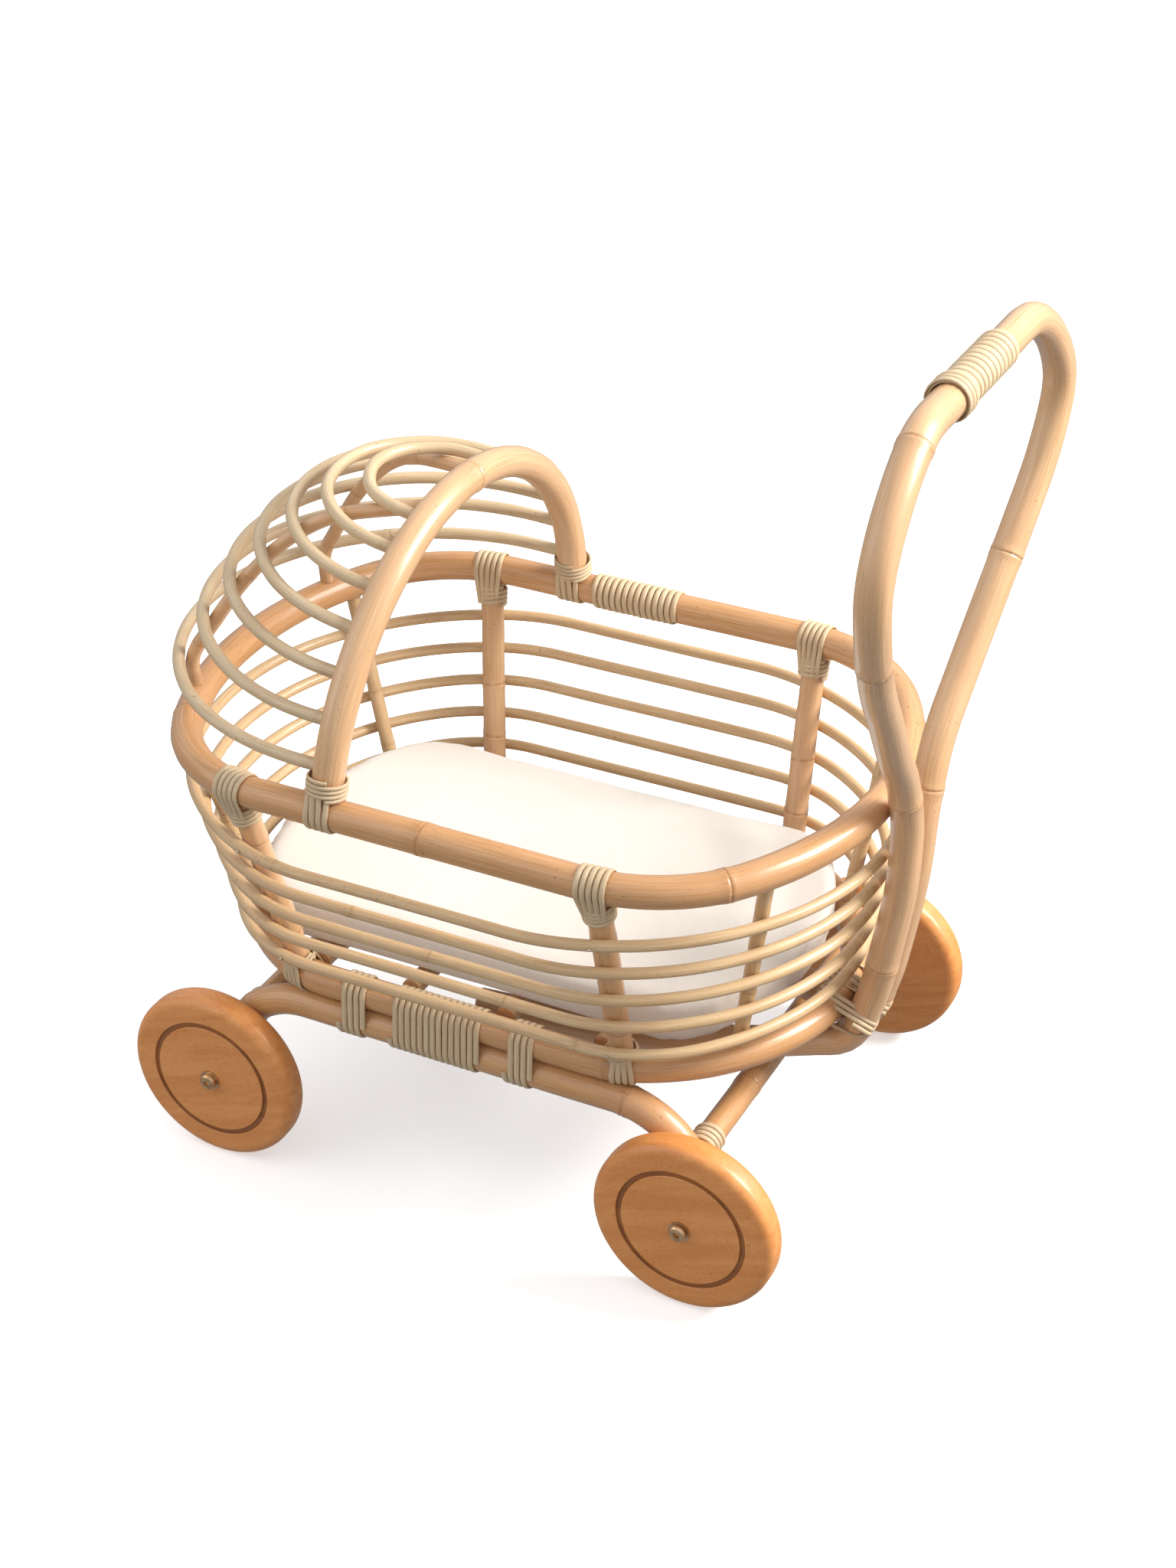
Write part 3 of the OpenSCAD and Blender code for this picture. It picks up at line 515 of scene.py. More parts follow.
rim = makePole("pole_rim", metres(outline(rimLine)), poleSet["rim"], 16, True, (0.17, 0.76, 0.985, 1.17), seed=2)
finish(rim, rattan, "rattan", "rim_pole")
base = makePole("pole_base_ring", metres(outline(baseLine)), poleSet["rim"], 16, True, (0.11, 0.4, 0.66, 0.93), seed=3)
finish(base, rattan, "rattan", "base_ring")
for i in range(5):
    path = metres(outline(rodLine(i)))
    rod = makePole(f"rod_side_{i + 1}", path, poleSet["rod"], 10, True, (0.9 + 0.02 * i,), wobble=0.0003, seed=10 + i)
    finish(rod, peeledRod, "peeled_rod", f"side_rod_{i + 1}")
print("rim, base ring and rods made")


# Posts, uprights, cross poles and slats. X of a post's top and foot
postX = {"rear": (112, 112), "front": (-128, -113)}
sides = ((-1, "left"), (1, "right"))
corners = [(end, side, hand) for end in ("rear", "front") for side, hand in sides]


def postEnds(end, side):
    topX, lowX = postX[end]
    return np.array([[x, side * halfWidth(line, x), line[0]] for x, line in ((topX, rimLine), (lowX, baseLine))])


# The line between two points, cut short at both ends
def shortened(top, low, by):
    way = unit(low - top)
    return metres([top + way * by, low - way * by])


for end, side, hand in corners:
    post = makePole(f"post_{end}_{hand}", shortened(*postEnds(end, side), 9.6), poleSet["post"], 16,
                    knots=(0.052 + 0.02 * side, 0.11), seed=20 + side + 5 * (end == "front"))
    finish(post, paleRattan, "pale_rattan", f"{end}_post_{hand}")

# X of a thin upright at the base ring's height and at the rim's, and how far it stands inside the rods
uprightSet = {"rear": (168, 192), "front": (-166, -206), "inside": 9.9}


def uprightLine(end, side):
    met = []
    for line in (rodLine(0), rodLine(4)):
        x = mix(*uprightSet[end], (line[0] - ringZ) / (rimZ - ringZ))
        slope = halfWidth(line, x + 0.5) - halfWidth(line, x - 0.5)
        inside = uprightSet["inside"] * math.sqrt(1 + slope * slope)
        met.append(np.array([x, side * (halfWidth(line, x) - inside), line[0]]))
    return [mix(*met, (z - met[0][2]) / (met[1][2] - met[0][2])) for z in (rimZ, ringZ)]


uprights = joined([makePole("upright", shortened(*uprightLine(end, side), 9.5), poleSet["upright"], 12,
                            knots=(0.04 + 0.03 * (end == "front"), 0.1 + 0.01 * side),
                            seed=30 + side + 3 * (end == "front")) for end, side, hand in corners])
uprights.name = "posts_thin_uprights"
finish(uprights, peeledRod, "peeled_rod", "uprights")

# Poles across the basket, each as long as the CAD has it
slatFrom, slatTo = -106, 94
for i in range(4):
    lo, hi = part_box(f"slat_{i + 1}")
    x, z = mix(slatFrom, slatTo, i / 3) / 1000 + shiftX, (lo[2] + hi[2]) / 2
    slat = makePole(f"slat_pole_{i + 1}", np.array([[x, lo[1], z], [x, hi[1], z]]), poleSet["slat"], 14,
                    knots=(0.06 + 0.02 * i, 0.19), seed=40 + i)
    finish(slat, paleRattan, "pale_rattan", f"slat_{i + 1}")
for end in ("front", "rear"):
    lo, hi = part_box(f"cross_pole_{end}")
    x, z = (lo[0] + hi[0]) / 2, (lo[2] + hi[2]) / 2
    cross = makePole(f"pole_cross_{end}", np.array([[x, lo[1], z], [x, hi[1], z]]), poleSet["cross"], 16,
                     knots=(0.07, 0.18), seed=50 + len(end))
    finish(cross, rattan, "rattan", f"cross_pole_{end}")

# Hood: the arch leans back, and every loop is a U in its own tipped plane
lean = math.radians(4)
hood = {"archX": 66, "half": 158, "rise": 147 / math.cos(lean), "lean": lean, "stand": poleR + 0.3}
hood["radius"] = (hood["half"] ** 2 + hood["rise"] ** 2) / (2 * hood["rise"])
hood["centre"] = hood["rise"] - hood["radius"]
hood["foot"] = math.degrees(math.asin(hood["stand"] / hood["radius"]) - math.asin(hood["centre"] / hood["radius"]))


def archPoint(angle):
    up = hood["centre"] + hood["radius"] * math.cos(math.radians(angle))
    return np.array([-hood["archX"] + up * math.sin(hood["lean"]), hood["radius"] * math.sin(math.radians(angle)),
                     rimZ + up * math.cos(hood["lean"])])


archEnd = 90 - hood["foot"]
archPath = np.array([archPoint(a) for a in np.linspace(-archEnd, archEnd, 200)])
arch = makePole("hood_arch_pole", metres(archPath), poleSet["rim"], knots=(0.235,), seed=60)
finish(arch, paleRattan, "pale_rattan", "hood_arch")
loopCount = 7


# A loop's foot on the arch, half width, reach forwards and tilt
def loopSizes(i):
    t = i / (loopCount - 1)
    angle = mix(16, 76, t)
    half = hood["radius"] * math.sin(math.radians(angle))
    return archPoint(angle), half, mix(59, 178, t ** 0.87), math.radians(8.5 - 7 * t * t)


# Where loop i is at an angle round its front half circle
def loopAt(i, a):
    foot, half, reach, tilt = loopSizes(i)
    run = reach - half + half * math.cos(math.radians(a))
    return np.array([foot[0] - run * math.cos(tilt), half * math.sin(math.radians(a)), foot[2] + run * math.sin(tilt)])


startIn = 9
for i in range(loopCount):
    foot, half, reach, tilt = loopSizes(i)
    start = np.array([foot[0] - startIn * math.cos(tilt), half, foot[2] + startIn * math.sin(tilt)])
    path = [start] + [loopAt(i, a) for a in np.linspace(90, -90, 90)] + [start * [1, -1, 1]]
    loop = makePole(f"hood_loop_rod_{i + 1}", metres(path), poleSet["loop"], 12,
                    knots=(0.12,) if i == loopCount - 1 else (), wobble=0.0003, seed=70 + i)
    finish(loop, loopRod, "peeled_rod", f"hood_loop_{i + 1}")

# Two ribs run under the loops from the arch's top to the rim's front
ribAngle, ribFootY = 9, 78
wideFront = wideArc(*(rimLine[1], *rimLine[5:8]))
ribFoot = np.array([wideFront - rimLine[7] - math.sqrt(wideFront ** 2 - ribFootY ** 2), ribFootY, rimZ])
ribTop = archPoint(ribAngle)


# Where a loop passes over the rib's line, found by halving
def ribCross(i):
    low, high = 0, 90
    for _ in range(24):
        middle = (low + high) / 2
        p = loopAt(i, middle)
        line = ribTop[1] + (ribFootY - ribTop[1]) * (p[0] - ribTop[0]) / (ribFoot[0] - ribTop[0])
        low, high = (low, middle) if p[1] > line else (middle, high)
    return loopAt(i, (low + high) / 2)


# A smooth curve through points
def throughPoints(points, n):
    p = [2 * points[0] - points[1], *points, 2 * points[-1] - points[-2]]
    out = []
    for a, b, c, d in zip(p, p[1:], p[2:], p[3:]):
        for t in np.arange(n) / n:
            out.append(0.5 * (2 * b + (c - a) * t + (2 * a - 5 * b + 4 * c - d) * t ** 2
                              + (3 * b - a - 3 * c + d) * t ** 3))
    return np.array(out + [points[-1]])


# The rib is held under each loop it crosses, and cut short of the arch and the rim
ribUnder, ribShort, ribDrop = 9.5, 9.5, 3
way = [ribTop] + [ribCross(i) for i in range(loopCount)] + [ribFoot]
inner = []
for before, here, after in zip(way, way[1:], way[2:]):
    t = unit(after - before)
    flat = math.hypot(t[0], t[1])
    inner.append(here - ribUnder * unit(np.array([t[0] * abs(t[2]), t[1] * abs(t[2]), flat * flat])))
ribTop = ribTop - [0, 0, ribDrop]
first, last = unit(inner[0] - ribTop), unit(ribFoot - inner[-1])
ribPath = throughPoints([ribTop + first * ribShort, *inner, ribFoot - last * ribShort], 8)
for side, hand in sides:
    rib = makePole(f"hood_rib_rod_{hand}", metres(ribPath * [1, side, 1]), poleSet["rib"], 12,
                   knots=(0.05, 0.13, 0.19), seed=80 + side)
    finish(rib, paleRattan, "pale_rattan", f"hood_rib_{hand}")

# Push handle: one long pole, its two legs running under the basket
gripZ, legZ = 564, 113
handleHalf = np.array(
    [(261, 0, gripZ), (261.5, 43.2, gripZ), (263, 86.4, gripZ - 1)]
    + [(x, y, mix(rimZ, gripZ, t)) for x, y, t in [
        (264, 123.84, 0.905), (264, 144, 0.78), (261, 133.92, 0.633), (256, 110.88, 0.494), (251.5, 82.8, 0.363),
        (247, 55.44, 0.233), (243.7, 28.8, 0.11)]]
    + [(x, y, mix(ringZ, rimZ, t)) for x, y, t in [(242.5, 14, 0.947), (240, 11, 0.647), (233, 11, 0.347)]]
    + [(224.7, 11, 151), (211.5, 13, 119), (189, 21, legZ), (141, 45, legZ), (71, 67, legZ), (-14, 77, legZ)])
route = throughPoints(list((handleHalf * [1, -1, 1])[::-1][:-1]) + list(handleHalf), 10)
handle = makePole("handle_pole", metres(route), poleSet["rim"], 16,
                  knots=(0.3, 0.43, 0.61, 0.745, 1.12, 1.265, 1.42), seed=90)
finish(handle, paleRattan, "pale_rattan", "push_handle")

# Side rails: straight below the base ring, turned down at both ends to the bolts
railOut, apart, axleX, axleZ, pastAxle = 2, 20.3, 167, 60, 12
railY, railZ = ringSide + railOut, ringZ - math.sqrt(apart ** 2 - railOut ** 2)
railBend = railZ - axleZ
railHalf = axleX - railBend
for side, hand in sides:
    leg = np.array([[railHalf + railBend * math.cos(a), side * railY, axleZ + railBend * math.sin(a)]
                    for a in np.linspace(math.pi / 2, 0, 24)] + [[axleX, side * railY, axleZ - pastAxle]])
    rail = makePole(f"rail_side_{hand}", metres(np.concatenate([(leg * [-1, 1, 1])[::-1], leg])), poleSet["rim"], 16,
                    knots=(0.06, 0.2, 0.33, 0.44), seed=100 + side)
    finish(rail, rattan, "rattan", f"side_rail_{hand}")
print("hood, handle and rails made")


# Cane bindings. A strip is a path about a local Z axis, the pole's own, and is swept with a flat crowned section.
# Half of the section, as shares of its thickness and its width
crown = [(-0.35, 0.36), (-0.1, 0.44), (0.2, 0.4), (0.48, 0.22), (0.58, 0)]
crown += [(x, -y) for x, y in crown[-2::-1]]


# path: local points in millimetres. frameAt: origin and three axes in the basket's frame
def makeStrip(path, frameAt, width, thick):
    section = polyCurve("section", [(x * thick / 1000, y * width / 1000, 0) for x, y in crown], True, dimensions="2D")
    local = np.array(path, float) / 1000
    obj = polyCurve("strip", local, dimensions="3D", twist_mode="Z_UP", use_fill_caps=True, bevel_mode="OBJECT",
                    bevel_object=section)
    pick(obj)
    bpy.ops.object.convert(target="MESH")
    uv = np.zeros(len(obj.data.loops) * 2, np.float32)
    obj.data.uv_layers[0].data.foreach_get("uv", uv)
    uv[0::2] = uv[0::2] * lengths(local)[-1] + random.Random(len(path)).uniform(0, 1) + local[0][2] * 40
    obj.data.uv_layers[0].data.foreach_set("uv", uv)
    origin, x, y, z = frameAt
    at = metres([origin])[0]
    obj.data.transform(Matrix([(x[i], y[i], z[i], at[i]) for i in range(3)] + [(0, 0, 0, 1)]))
    bpy.data.objects.remove(section)
    return obj


def joinStrips(name, strips, node):
    obj = joined(strips)
    obj.name = obj.data.name = name
    cleanMesh(60, weld=0)
    finish(obj, splitCane, "cane", node)


# Local axes whose Z is along z and whose Y is as near as it can be to near
def axes(z, near):
    z = unit(np.array(z, float))
    y = unit(np.array(near, float) - np.dot(near, z) * z)
    return np.cross(y, z), y, z


# A strip wound round the local Z axis, its layers a little uneven
def coil(radius, turns, pitch, thick, start=0.0, rough=0.12, seed=1, steps=26):
    rng = random.Random(seed)
    count = int(turns * steps)
    marks = np.arange(0, count + steps, steps)
    heights = [rng.uniform(0, rough) for _ in range(count // steps + 2)]
    lift = np.interp(np.arange(count + 1), marks, heights[:len(marks)])
    out = []
    for k in range(count + 1):
        a = start + 2 * math.pi * k / steps
        r = radius + thick * 0.45 + lift[k]
        out.append([r * math.cos(a), r * math.sin(a), pitch * k / steps])
    return out


# A strip wound round two poles side by side along the local Y axis, one at zero and one at apart
def roundTwo(radius, apart, turns, pitch, thick, seed=1):
    rng = random.Random(seed)
    r = radius + thick * 0.45
    loop = [[r * math.cos(a), apart + r * math.sin(a)] for a in np.linspace(0, math.pi, 12)]
    loop += [[r * math.cos(a), r * math.sin(a)] for a in np.linspace(math.pi, 2 * math.pi, 12)]
    out = []
    for k in range(int(turns)):
        bulge = rng.uniform(0, 0.25)
        for j, (x, y) in enumerate(loop):
            grow = 1 + bulge / r
            out.append([x * grow, y, pitch * (k + j / len(loop)) + rng.uniform(-0.06, 0.06)])
    out.append([loop[0][0], loop[0][1], pitch * int(turns)])
    return out


# A strip over a pole at the origin whose ends run along a post that goes down the local Y axis
def saddle(ringRadius, postRadius, down, offset, thick, squeeze):
    r = ringRadius + thick * 0.5
    low = offset * squeeze
    px = math.sqrt(max(4.0, postRadius ** 2 - low ** 2)) + thick * 0.45
    size = math.hypot(px, down)
    touch = math.atan2(-down, px) + math.acos(min(1, r / size))
    over = [[r * math.cos(a), r * math.sin(a), offset] for a in np.linspace(touch, math.pi - touch, 22)]
    head, tail = np.array([px, -down, low]), np.array([-px, -down, low])
    over = np.array(over)
    rise = [list(mix(head, over[0], t)) for t in np.linspace(0, 1, 6)[:-1]]
    fall = [list(mix(over[-1], tail, t)) for t in np.linspace(0, 1, 6)[1:]]
    return rise + list(over) + fall


# Saddle strips over a pole and rings round the post that holds to it
def lashing(origin, poleAxis, postWay, postRadius, **changes):
    s = {**lashSet, **changes}
    saddleAxes = axes(poleAxis, -np.array(postWay, float))
    strips = []
    for i in range(s["strips"]):
        offset = (i - (s["strips"] - 1) / 2) * s["width"]
        path = saddle(poleR, postRadius, s["down"], offset, s["thick"], s["squeeze"])
        strips.append(makeStrip(path, (origin, *saddleAxes), s["width"], s["thick"]))
    start = origin + np.array(postWay) * s["ringsFrom"]
    rings = coil(postRadius + s["thick"] * 0.6, s["rings"], s["ringPitch"], s["thick"], s["start"], 0.5, s["seed"])
    strips.append(makeStrip(rings, (start, *axes(postWay, poleAxis)), s["ringPitch"] * 1.02, s["thick"]))
    return strips


# The pole's own direction where it passes a point on an outline
def alongOutline(line, x, side):
    return 1, side * (halfWidth(line, x + 0.5) - halfWidth(line, x - 0.5)), 0


lashSet = {"strips": 5, "width": 4.0, "thick": 1.5, "squeeze": 0.66, "down": 24, "ringsFrom": 12.3, "rings": 4,
           "ringPitch": 3.1}
footSet = {"strips": 4, "down": 16, "ringsFrom": 10.8, "rings": 2, "ringPitch": 2.6, "start": 2.0}
archSet = {"strips": 4, "width": 4.4, "down": 13, "squeeze": 0.97, "ringsFrom": 11.9, "ringPitch": 2.9, "start": 0.5}
postR = poleSet["post"] * 1000
for end, side, hand in corners:
    top, low = postEnds(end, side)
    made = lashing(top, alongOutline(rimLine, top[0], side), unit(low - top), postR,
                   seed=3 + side + 2 * (end == "front"), start=1.0 + side)
    joinStrips(f"lashing_{end}_{hand}", made, f"lash_{end}_{hand}")

feet = []
for end, side, hand in corners:
    top, low = postEnds(end, side)
    feet += lashing(low, alongOutline(baseLine, low[0], side), unit(top - low), postR, **footSet, seed=9 + side)
joinStrips("lashings_post_feet", feet, "lash_post_feet")

for side, hand in sides:
    footPoint = archPoint(side * archEnd)
    upWay = unit(archPoint(side * (archEnd - 4)) - footPoint)
    origin = np.array([-hood["archX"], side * halfWidth(rimLine, -hood["archX"]), rimZ])
    joinStrips(f"lashing_arch_{hand}", lashing(origin, (1, 0, 0), upWay, poleR, **archSet, seed=15 + side),
               f"lash_arch_{hand}")

# Wraps round the base ring and each side rail together: a long one and a short one on each side of it
wrapSet = {"middle": -12, "apart": 58.9, "long": 14, "short": 4, "pitch": 4.4, "width": 4.3, "thick": 1.6}
for side, hand in sides:
    strips = []
    for shift, turns in ((0, "long"), (-1, "short"), (1, "short")):
        turns, pitch = wrapSet[turns], wrapSet["pitch"]
        start = np.array([wrapSet["middle"] + shift * wrapSet["apart"] - turns * pitch / 2, side * ringSide, ringZ])
        path = roundTwo(poleR, apart, turns, pitch, wrapSet["thick"], seed=30 + turns + side)
        strips.append(makeStrip(path, (start, *axes((1, 0, 0), (0, side * railOut, railZ - ringZ))),
                                wrapSet["width"], wrapSet["thick"]))
    joinStrips(f"wraps_rail_and_ring_{hand}", strips, f"wraps_rail_{hand}")

wrapUp = (0, 0, 1)
rimWrap = coil(poleR, 13.6, 4.5, 1.6, rough=0.3, seed=5)
rimWrapAt = (np.array([-47.6, rimSide, rimZ]), *axes((1, 0, 0), wrapUp))
joinStrips("wrap_rim_scarf", [makeStrip(rimWrap, rimWrapAt, 4.4, 1.6)], "wrap_rim_joint")

crossWraps = []
for sign, end in ((-1, "front"), (1, "rear")):
    for side, hand in sides:
        lo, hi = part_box(f"cross_pole_{end}")
        origin = np.array([((lo[0] + hi[0]) / 2 - shiftX) * 1000, side * 119.6, (lo[2] + hi[2]) * 500])
        path = coil(poleSet["cross"] * 1000, 4, 4.1, 1.6, rough=0.3, seed=40 + sign + 2 * side)
        crossWraps.append(makeStrip(path, (origin, *axes((0, -side, 0), wrapUp)), 4.0, 1.6))
joinStrips("wraps_on_cross_poles", crossWraps, "wraps_cross_poles")

# Crossed lashing that ties the two handle legs to the base ring
legWay = unit(np.array([13.2, 0, 32.0]))
crossed = []
for side, hand in sides:
    ring = np.array([199.6, side * 12.0, ringZ])
    leg = np.array([218.0, side * 11.8, 134.0])
    for slant in (-1, 1):
        path = roundTwo(10.6, float(np.linalg.norm(leg - ring)), 3, 3.3, 1.4, seed=50 + slant)
        path = [[p[0] * 1.12, p[1], p[2] - 4.8] for p in path]
        slanted = unit(np.array([0, 1.0, 0]) * 0.9 + slant * legWay)
        crossed.append(makeStrip(path, (ring, *axes(slanted, unit(leg - ring))), 3.2, 1.4))
joinStrips("lashing_handle_legs", crossed, "lash_handle_foot")

# The grip's wrap, and a second layer over its first turns
gripFrom = np.array([handleHalf[0][0], -42, gripZ])
gripAxes = axes((0, 1, 0), wrapUp)
gripWrap = makeStrip(coil(poleR, 13, 6.1, 1.8, rough=0.2, seed=6), (gripFrom + [0, 1, 0], *gripAxes), 5.9, 1.8)
gripEnd = makeStrip(coil(11.6, 3, 4.6, 1.5, rough=0.3, seed=7), (gripFrom, *gripAxes), 4.6, 1.5)
joinStrips("wrap_handle_grip", [gripWrap, gripEnd], "wrap_grip")
print("cane bindings wound")


# Wheels: one profile, turned about the bolt's line
wheelSet = {"radius": 60, "thick": 20.5, "bore": 3.3, "round": 7, "grooveAt": 41, "grooveWide": 3.4,
            "grooveDeep": 1.6, "chamfer": 0.4, "lip": 0.35, "lipDeep": 0.3, "steps": 128}
latheSmooth = 32


# A closed profile of (radius, out) in millimetres, turned about the Y axis through centre, outwards to side
def turned(name, profile, steps, centre, side):
    obj = polyCurve(name, [(r / 1000, 0, out / 1000) for r, out in profile], True, dimensions="3D")
    pick(obj)
    bpy.ops.object.convert(target="MESH")
    applied(obj, "lathe", "SCREW", axis="Z", steps=steps, render_steps=steps, use_merge_vertices=True,
            merge_threshold=0.00001)
    obj.data.transform(Matrix([(1, 0, 0, centre[0]), (0, 0, side, centre[1]), (0, 1, 0, centre[2]), (0, 0, 0, 1)]))
    cleanMesh(latheSmooth)
    return obj


# Points of a quarter round of radius e about (r, t), from start degrees
def roundedCorner(r, t, e, start, n=9):
    angles = [math.radians(start + 90 * i / n) for i in range(n + 1)]
    return [(r + e * math.cos(a), t + e * math.sin(a)) for a in angles]


def wheelProfile(s):
    r, t, e, g, w, d = s["radius"], s["thick"], s["round"], s["grooveAt"], s["grooveWide"] / 2, s["grooveDeep"]
    bore, chamfer, lip, lipDeep = s["bore"], s["chamfer"], s["lip"], s["lipDeep"]
    return ([(bore, chamfer), (bore + chamfer, 0)] + roundedCorner(r - e, e, e, -90) + roundedCorner(r - e, t - e, e, 0)
            + [(g + w + lip, t), (g + w, t - lipDeep), (g + w * 0.75, t - d),
               (g - w * 0.75, t - d), (g - w, t - lipDeep), (g - w - lip, t)]
            + [(bore + chamfer, t), (bore, t - chamfer)])


# The middle of a turned CAD node's inner face, and its length
def innerFace(node, side):
    lo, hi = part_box(node)
    return [(lo[0] + hi[0]) / 2, lo[1] if side > 0 else hi[1], (lo[2] + hi[2]) / 2], hi[1] - lo[1]


for end in ("front", "rear"):
    for side, hand in sides:
        name = f"wheel_{end}_{hand}"
        centre, thick = innerFace(name, side)
        wheel = turned(f"wheel_turned_{end}_{hand}", wheelProfile(wheelSet), wheelSet["steps"], centre, side)
        wheel.data.materials.append(beech)
        wheel.data.materials.append(beechGroovePaintedShade)
        # Faces in the groove, short of the outer face, take the darker beech: painted shade in the groove
        outFace = centre[1] + side * wheelSet["thick"] / 1000
        for face in wheel.data.polygons:
            x, y, z = face.center
            r = math.hypot(x - centre[0], z - centre[2]) * 1000
            cut = abs(r - wheelSet["grooveAt"]) < wheelSet["grooveWide"] * 0.5 and abs(y - outFace) > 0.0001
            face.material_index = int(cut and side * (y - centre[1]) > 0.01)
        settle(wheel, "beech", name, name)

# Axle bolts with a domed head and a six-sided socket
boltSet = {"radius": 3, "headRadius": 5.7, "headTall": 3.4, "socket": 2.0, "socketDeep": 2.0, "steps": 48}


def boltProfile(span, radius, head, tall):
    shank = span - tall
    dome = [(head - 0.25 * i * i / 9, shank + 0.5 + (tall - 0.5) * i / 6) for i in range(5)]
    return ([(0.01, 0), (radius - 0.6, 0), (radius, 0.6), (radius, shank), (head - 0.3, shank)] + dome
            + [(head - 0.9, span - 0.45), (head - 1.7, span - 0.1), (0.01, span)])


for end in ("front", "rear"):
    for side, hand in sides:
        name = f"bolt_{end}_{hand}"
        centre, span = innerFace(name, side)
        profile = boltProfile(span * 1000, boltSet["radius"], boltSet["headRadius"], boltSet["headTall"])
        bolt = turned(f"bolt_pan_head_{end}_{hand}", profile, boltSet["steps"], centre, side)
        bpy.ops.mesh.primitive_cylinder_add(
            vertices=6, radius=boltSet["socket"] / 1000, depth=boltSet["socketDeep"] / 500,
            location=(centre[0], centre[1] + side * span, centre[2]), rotation=(math.pi / 2, 0, 0))
        cutAway(bolt, bpy.context.object)
        bpy.ops.object.shade_smooth_by_angle(angle=math.radians(latheSmooth))
        finish(bolt, zinc, "zinc", name)
print("wheels and bolts turned")

# Mattress: a slab on the cross poles, with a dent round each upright, blown up like a stuffed pad
pad = {"low": 150.0, "high": 178.0, "voxel": 0.005, "pressure": 3.5, "cap": 0.004, "fill": 0.55,
       "bed": [111.6, 125, 40.6, 185.6, 128, 46.6, 194.6], "dent": 0.0009, "underside": 0.1495, "top": 0.1798,
       "flat": 0.004, "frames": 20}


def makeMattress(s):
    obj = polyCurve("mattress_pad", metres(outline([0] + s["bed"])), True, dimensions="2D", fill_mode="BOTH",
                    extrude=(s["high"] - s["low"]) / 2000)
    obj.location.z = (s["low"] + s["high"]) / 2000
    pick(obj)
    bpy.ops.object.convert(target="MESH")
    bpy.ops.object.transform_apply(location=True, rotation=False, scale=False)
    cleanMesh(None)
    for end, side, hand in corners:
        cutAway(obj, makePole("dent", metres(uprightLine(end, side)), poleSet["upright"] + s["dent"], 12))
    applied(obj, "remesh", "REMESH", mode="VOXEL", voxel_size=s["voxel"], use_smooth_shade=True)
    applied(obj, "round", "SMOOTH", factor=0.5, iterations=6)
    return obj


def vertexPlaces(mesh):
    places = np.empty(len(mesh.vertices) * 3)
    mesh.vertices.foreach_get("co", places)
    return places.reshape(-1, 3)


# The filling's pressure swells the pad, by no more than its cap
def swell(obj, s):
    before = vertexPlaces(obj.data)
    cloth = obj.modifiers.new("cloth", "CLOTH")
    cloth.settings.quality = 5
    cloth.settings.mass = 0.3
    cloth.settings.tension_stiffness = cloth.settings.compression_stiffness = 18
    cloth.settings.shear_stiffness = 8
    cloth.settings.bending_stiffness = 1.2
    cloth.settings.use_pressure = True
    cloth.settings.uniform_pressure_force = s["pressure"]
    cloth.settings.effector_weights.gravity = 0
    cloth.collision_settings.use_collision = False
    cloth.collision_settings.use_self_collision = False
    cloth.point_cache.frame_start, cloth.point_cache.frame_end = 1, s["frames"]
    for frameNumber in range(1, s["frames"] + 1):
        scene.frame_set(frameNumber)
    after = vertexPlaces(obj.evaluated_get(bpy.context.evaluated_depsgraph_get()).data)
    obj.modifiers.remove(cloth)
    scene.frame_set(1)
    move = after - before
    size = np.linalg.norm(move, axis=1, keepdims=True)
    move *= np.minimum(1, s["cap"] / np.maximum(size, 1e-9))
    # It lies flat on the slats
    below = before[:, 2] < s["low"] / 1000 + s["flat"]
    move[below, 2] = np.maximum(move[below, 2], 0)
    placedAt = before + move
    placedAt[:, 2] = np.clip(placedAt[:, 2], s["underside"], s["top"])
    obj.data.vertices.foreach_set("co", placedAt.astype(np.float32).ravel())
    obj.data.update()


mattress = makeMattress(pad)
pick(mattress)
swell(mattress, pad)
pick(mattress)
applied(mattress, "finer", "SUBSURF", levels=1, render_levels=1)
bpy.ops.object.shade_smooth()
finish(mattress, linen, "linen", "mattress")
print("mattress filled")

# Small hardware keeps its CAD shape
for name in ("bolt_washers", "spacer_washers", "axle_nuts", "rod_nails"):
    paint(bpy.data.objects[name], washerZinc)

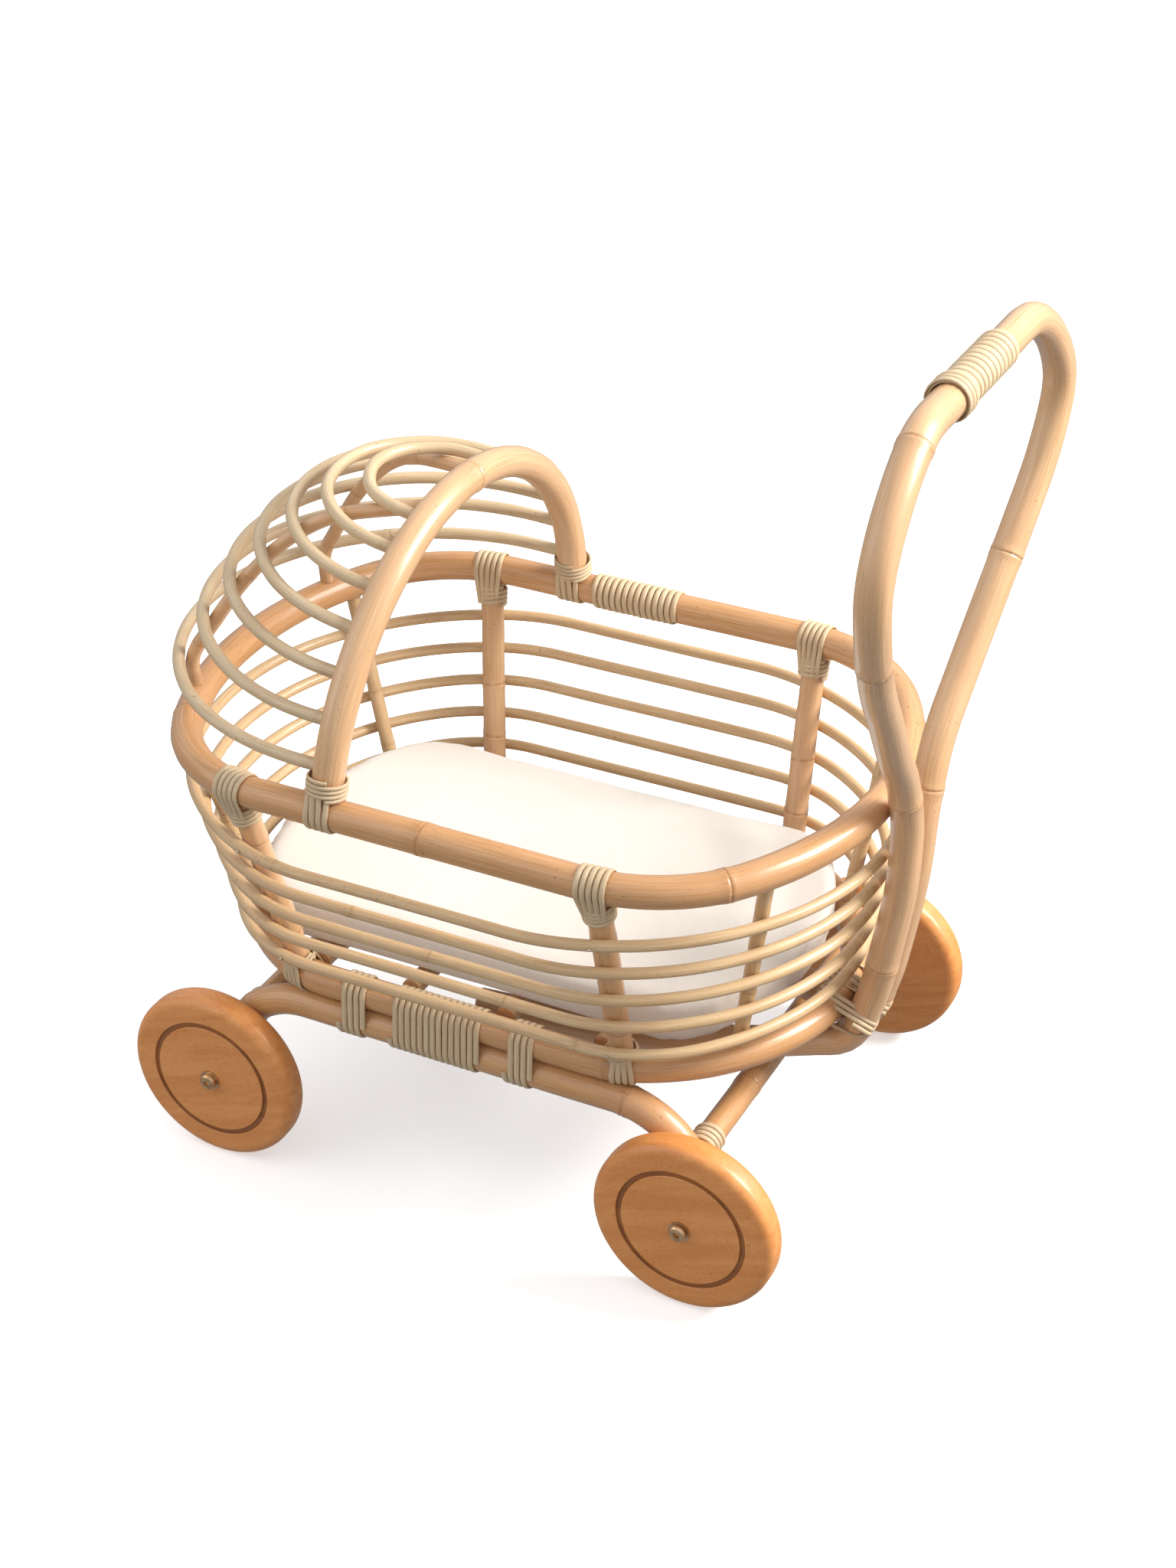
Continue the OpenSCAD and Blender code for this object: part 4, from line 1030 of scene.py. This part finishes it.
# A plain pale floor, which lights nothing itself
bpy.ops.mesh.primitive_plane_add(size=6, location=(0, 0, 0))
floor = bpy.context.object
floor.name = "studio_floor"
floorPaint, tree, shader = newMaterial("floorPaint")
feed(tree, shader, {"Base Color": (0.86, 0.86, 0.86, 1), "Roughness": 0.9, "Specular IOR Level": 0.1,
                    "Emission Color": (1, 1, 1, 1), "Emission Strength": 0.42})
floor.data.materials.append(floorPaint)
floor.visible_diffuse = floor.visible_glossy = False

# Two soft lamps in a sky that is brighter above than below
lamps = {"key": {"power": 95, "size": 1.0, "place": (1.75, 0.8, 1.55), "colour": (1.0, 0.97, 0.93)},
         "fill": {"power": 7, "size": 1.6, "place": (-1.4, -1.2, 1.3), "colour": (0.95, 0.97, 1.0)}}
skySet = {"above": 0.88, "below": 0.34, "colour": (0.985, 0.99, 1.0, 1)}
for name, s in lamps.items():
    data = bpy.data.lights.new(name, "AREA")
    data.shape, data.size, data.energy, data.color = "SQUARE", s["size"], s["power"], s["colour"]
    lamp = bpy.data.objects.new(name, data)
    bpy.context.collection.objects.link(lamp)
    lamp.location = s["place"]
    aim = Vector((shiftX, 0, 0.25)) - Vector(s["place"])
    lamp.rotation_euler = aim.to_track_quat("-Z", "Y").to_euler()
world = bpy.data.worlds.new("studio")
world.use_nodes = True
tree = world.node_tree
plain = tree.nodes["Background"]
plain.inputs[0].default_value, plain.inputs[1].default_value = (1, 1, 1, 1), 1.0
wayUp = addNode(tree, "ShaderNodeSeparateXYZ", None, {0: addNode(tree, "ShaderNodeTexCoord").outputs["Generated"]})
strength = stepBetween(tree, wayUp.outputs[2], -0.25, 0.5, skySet["below"], skySet["above"])
sky = addNode(tree, "ShaderNodeBackground", None, {"Color": skySet["colour"], "Strength": strength})
seen = addNode(tree, "ShaderNodeLightPath").outputs["Is Camera Ray"]
both = addNode(tree, "ShaderNodeMixShader", None, {0: seen, 1: sky.outputs[0], 2: plain.outputs[0]})
tree.links.new(both.outputs[0], tree.nodes["World Output"].inputs[0])
scene.world = world
scene.view_settings.view_transform = "Standard"

print("scene ready")
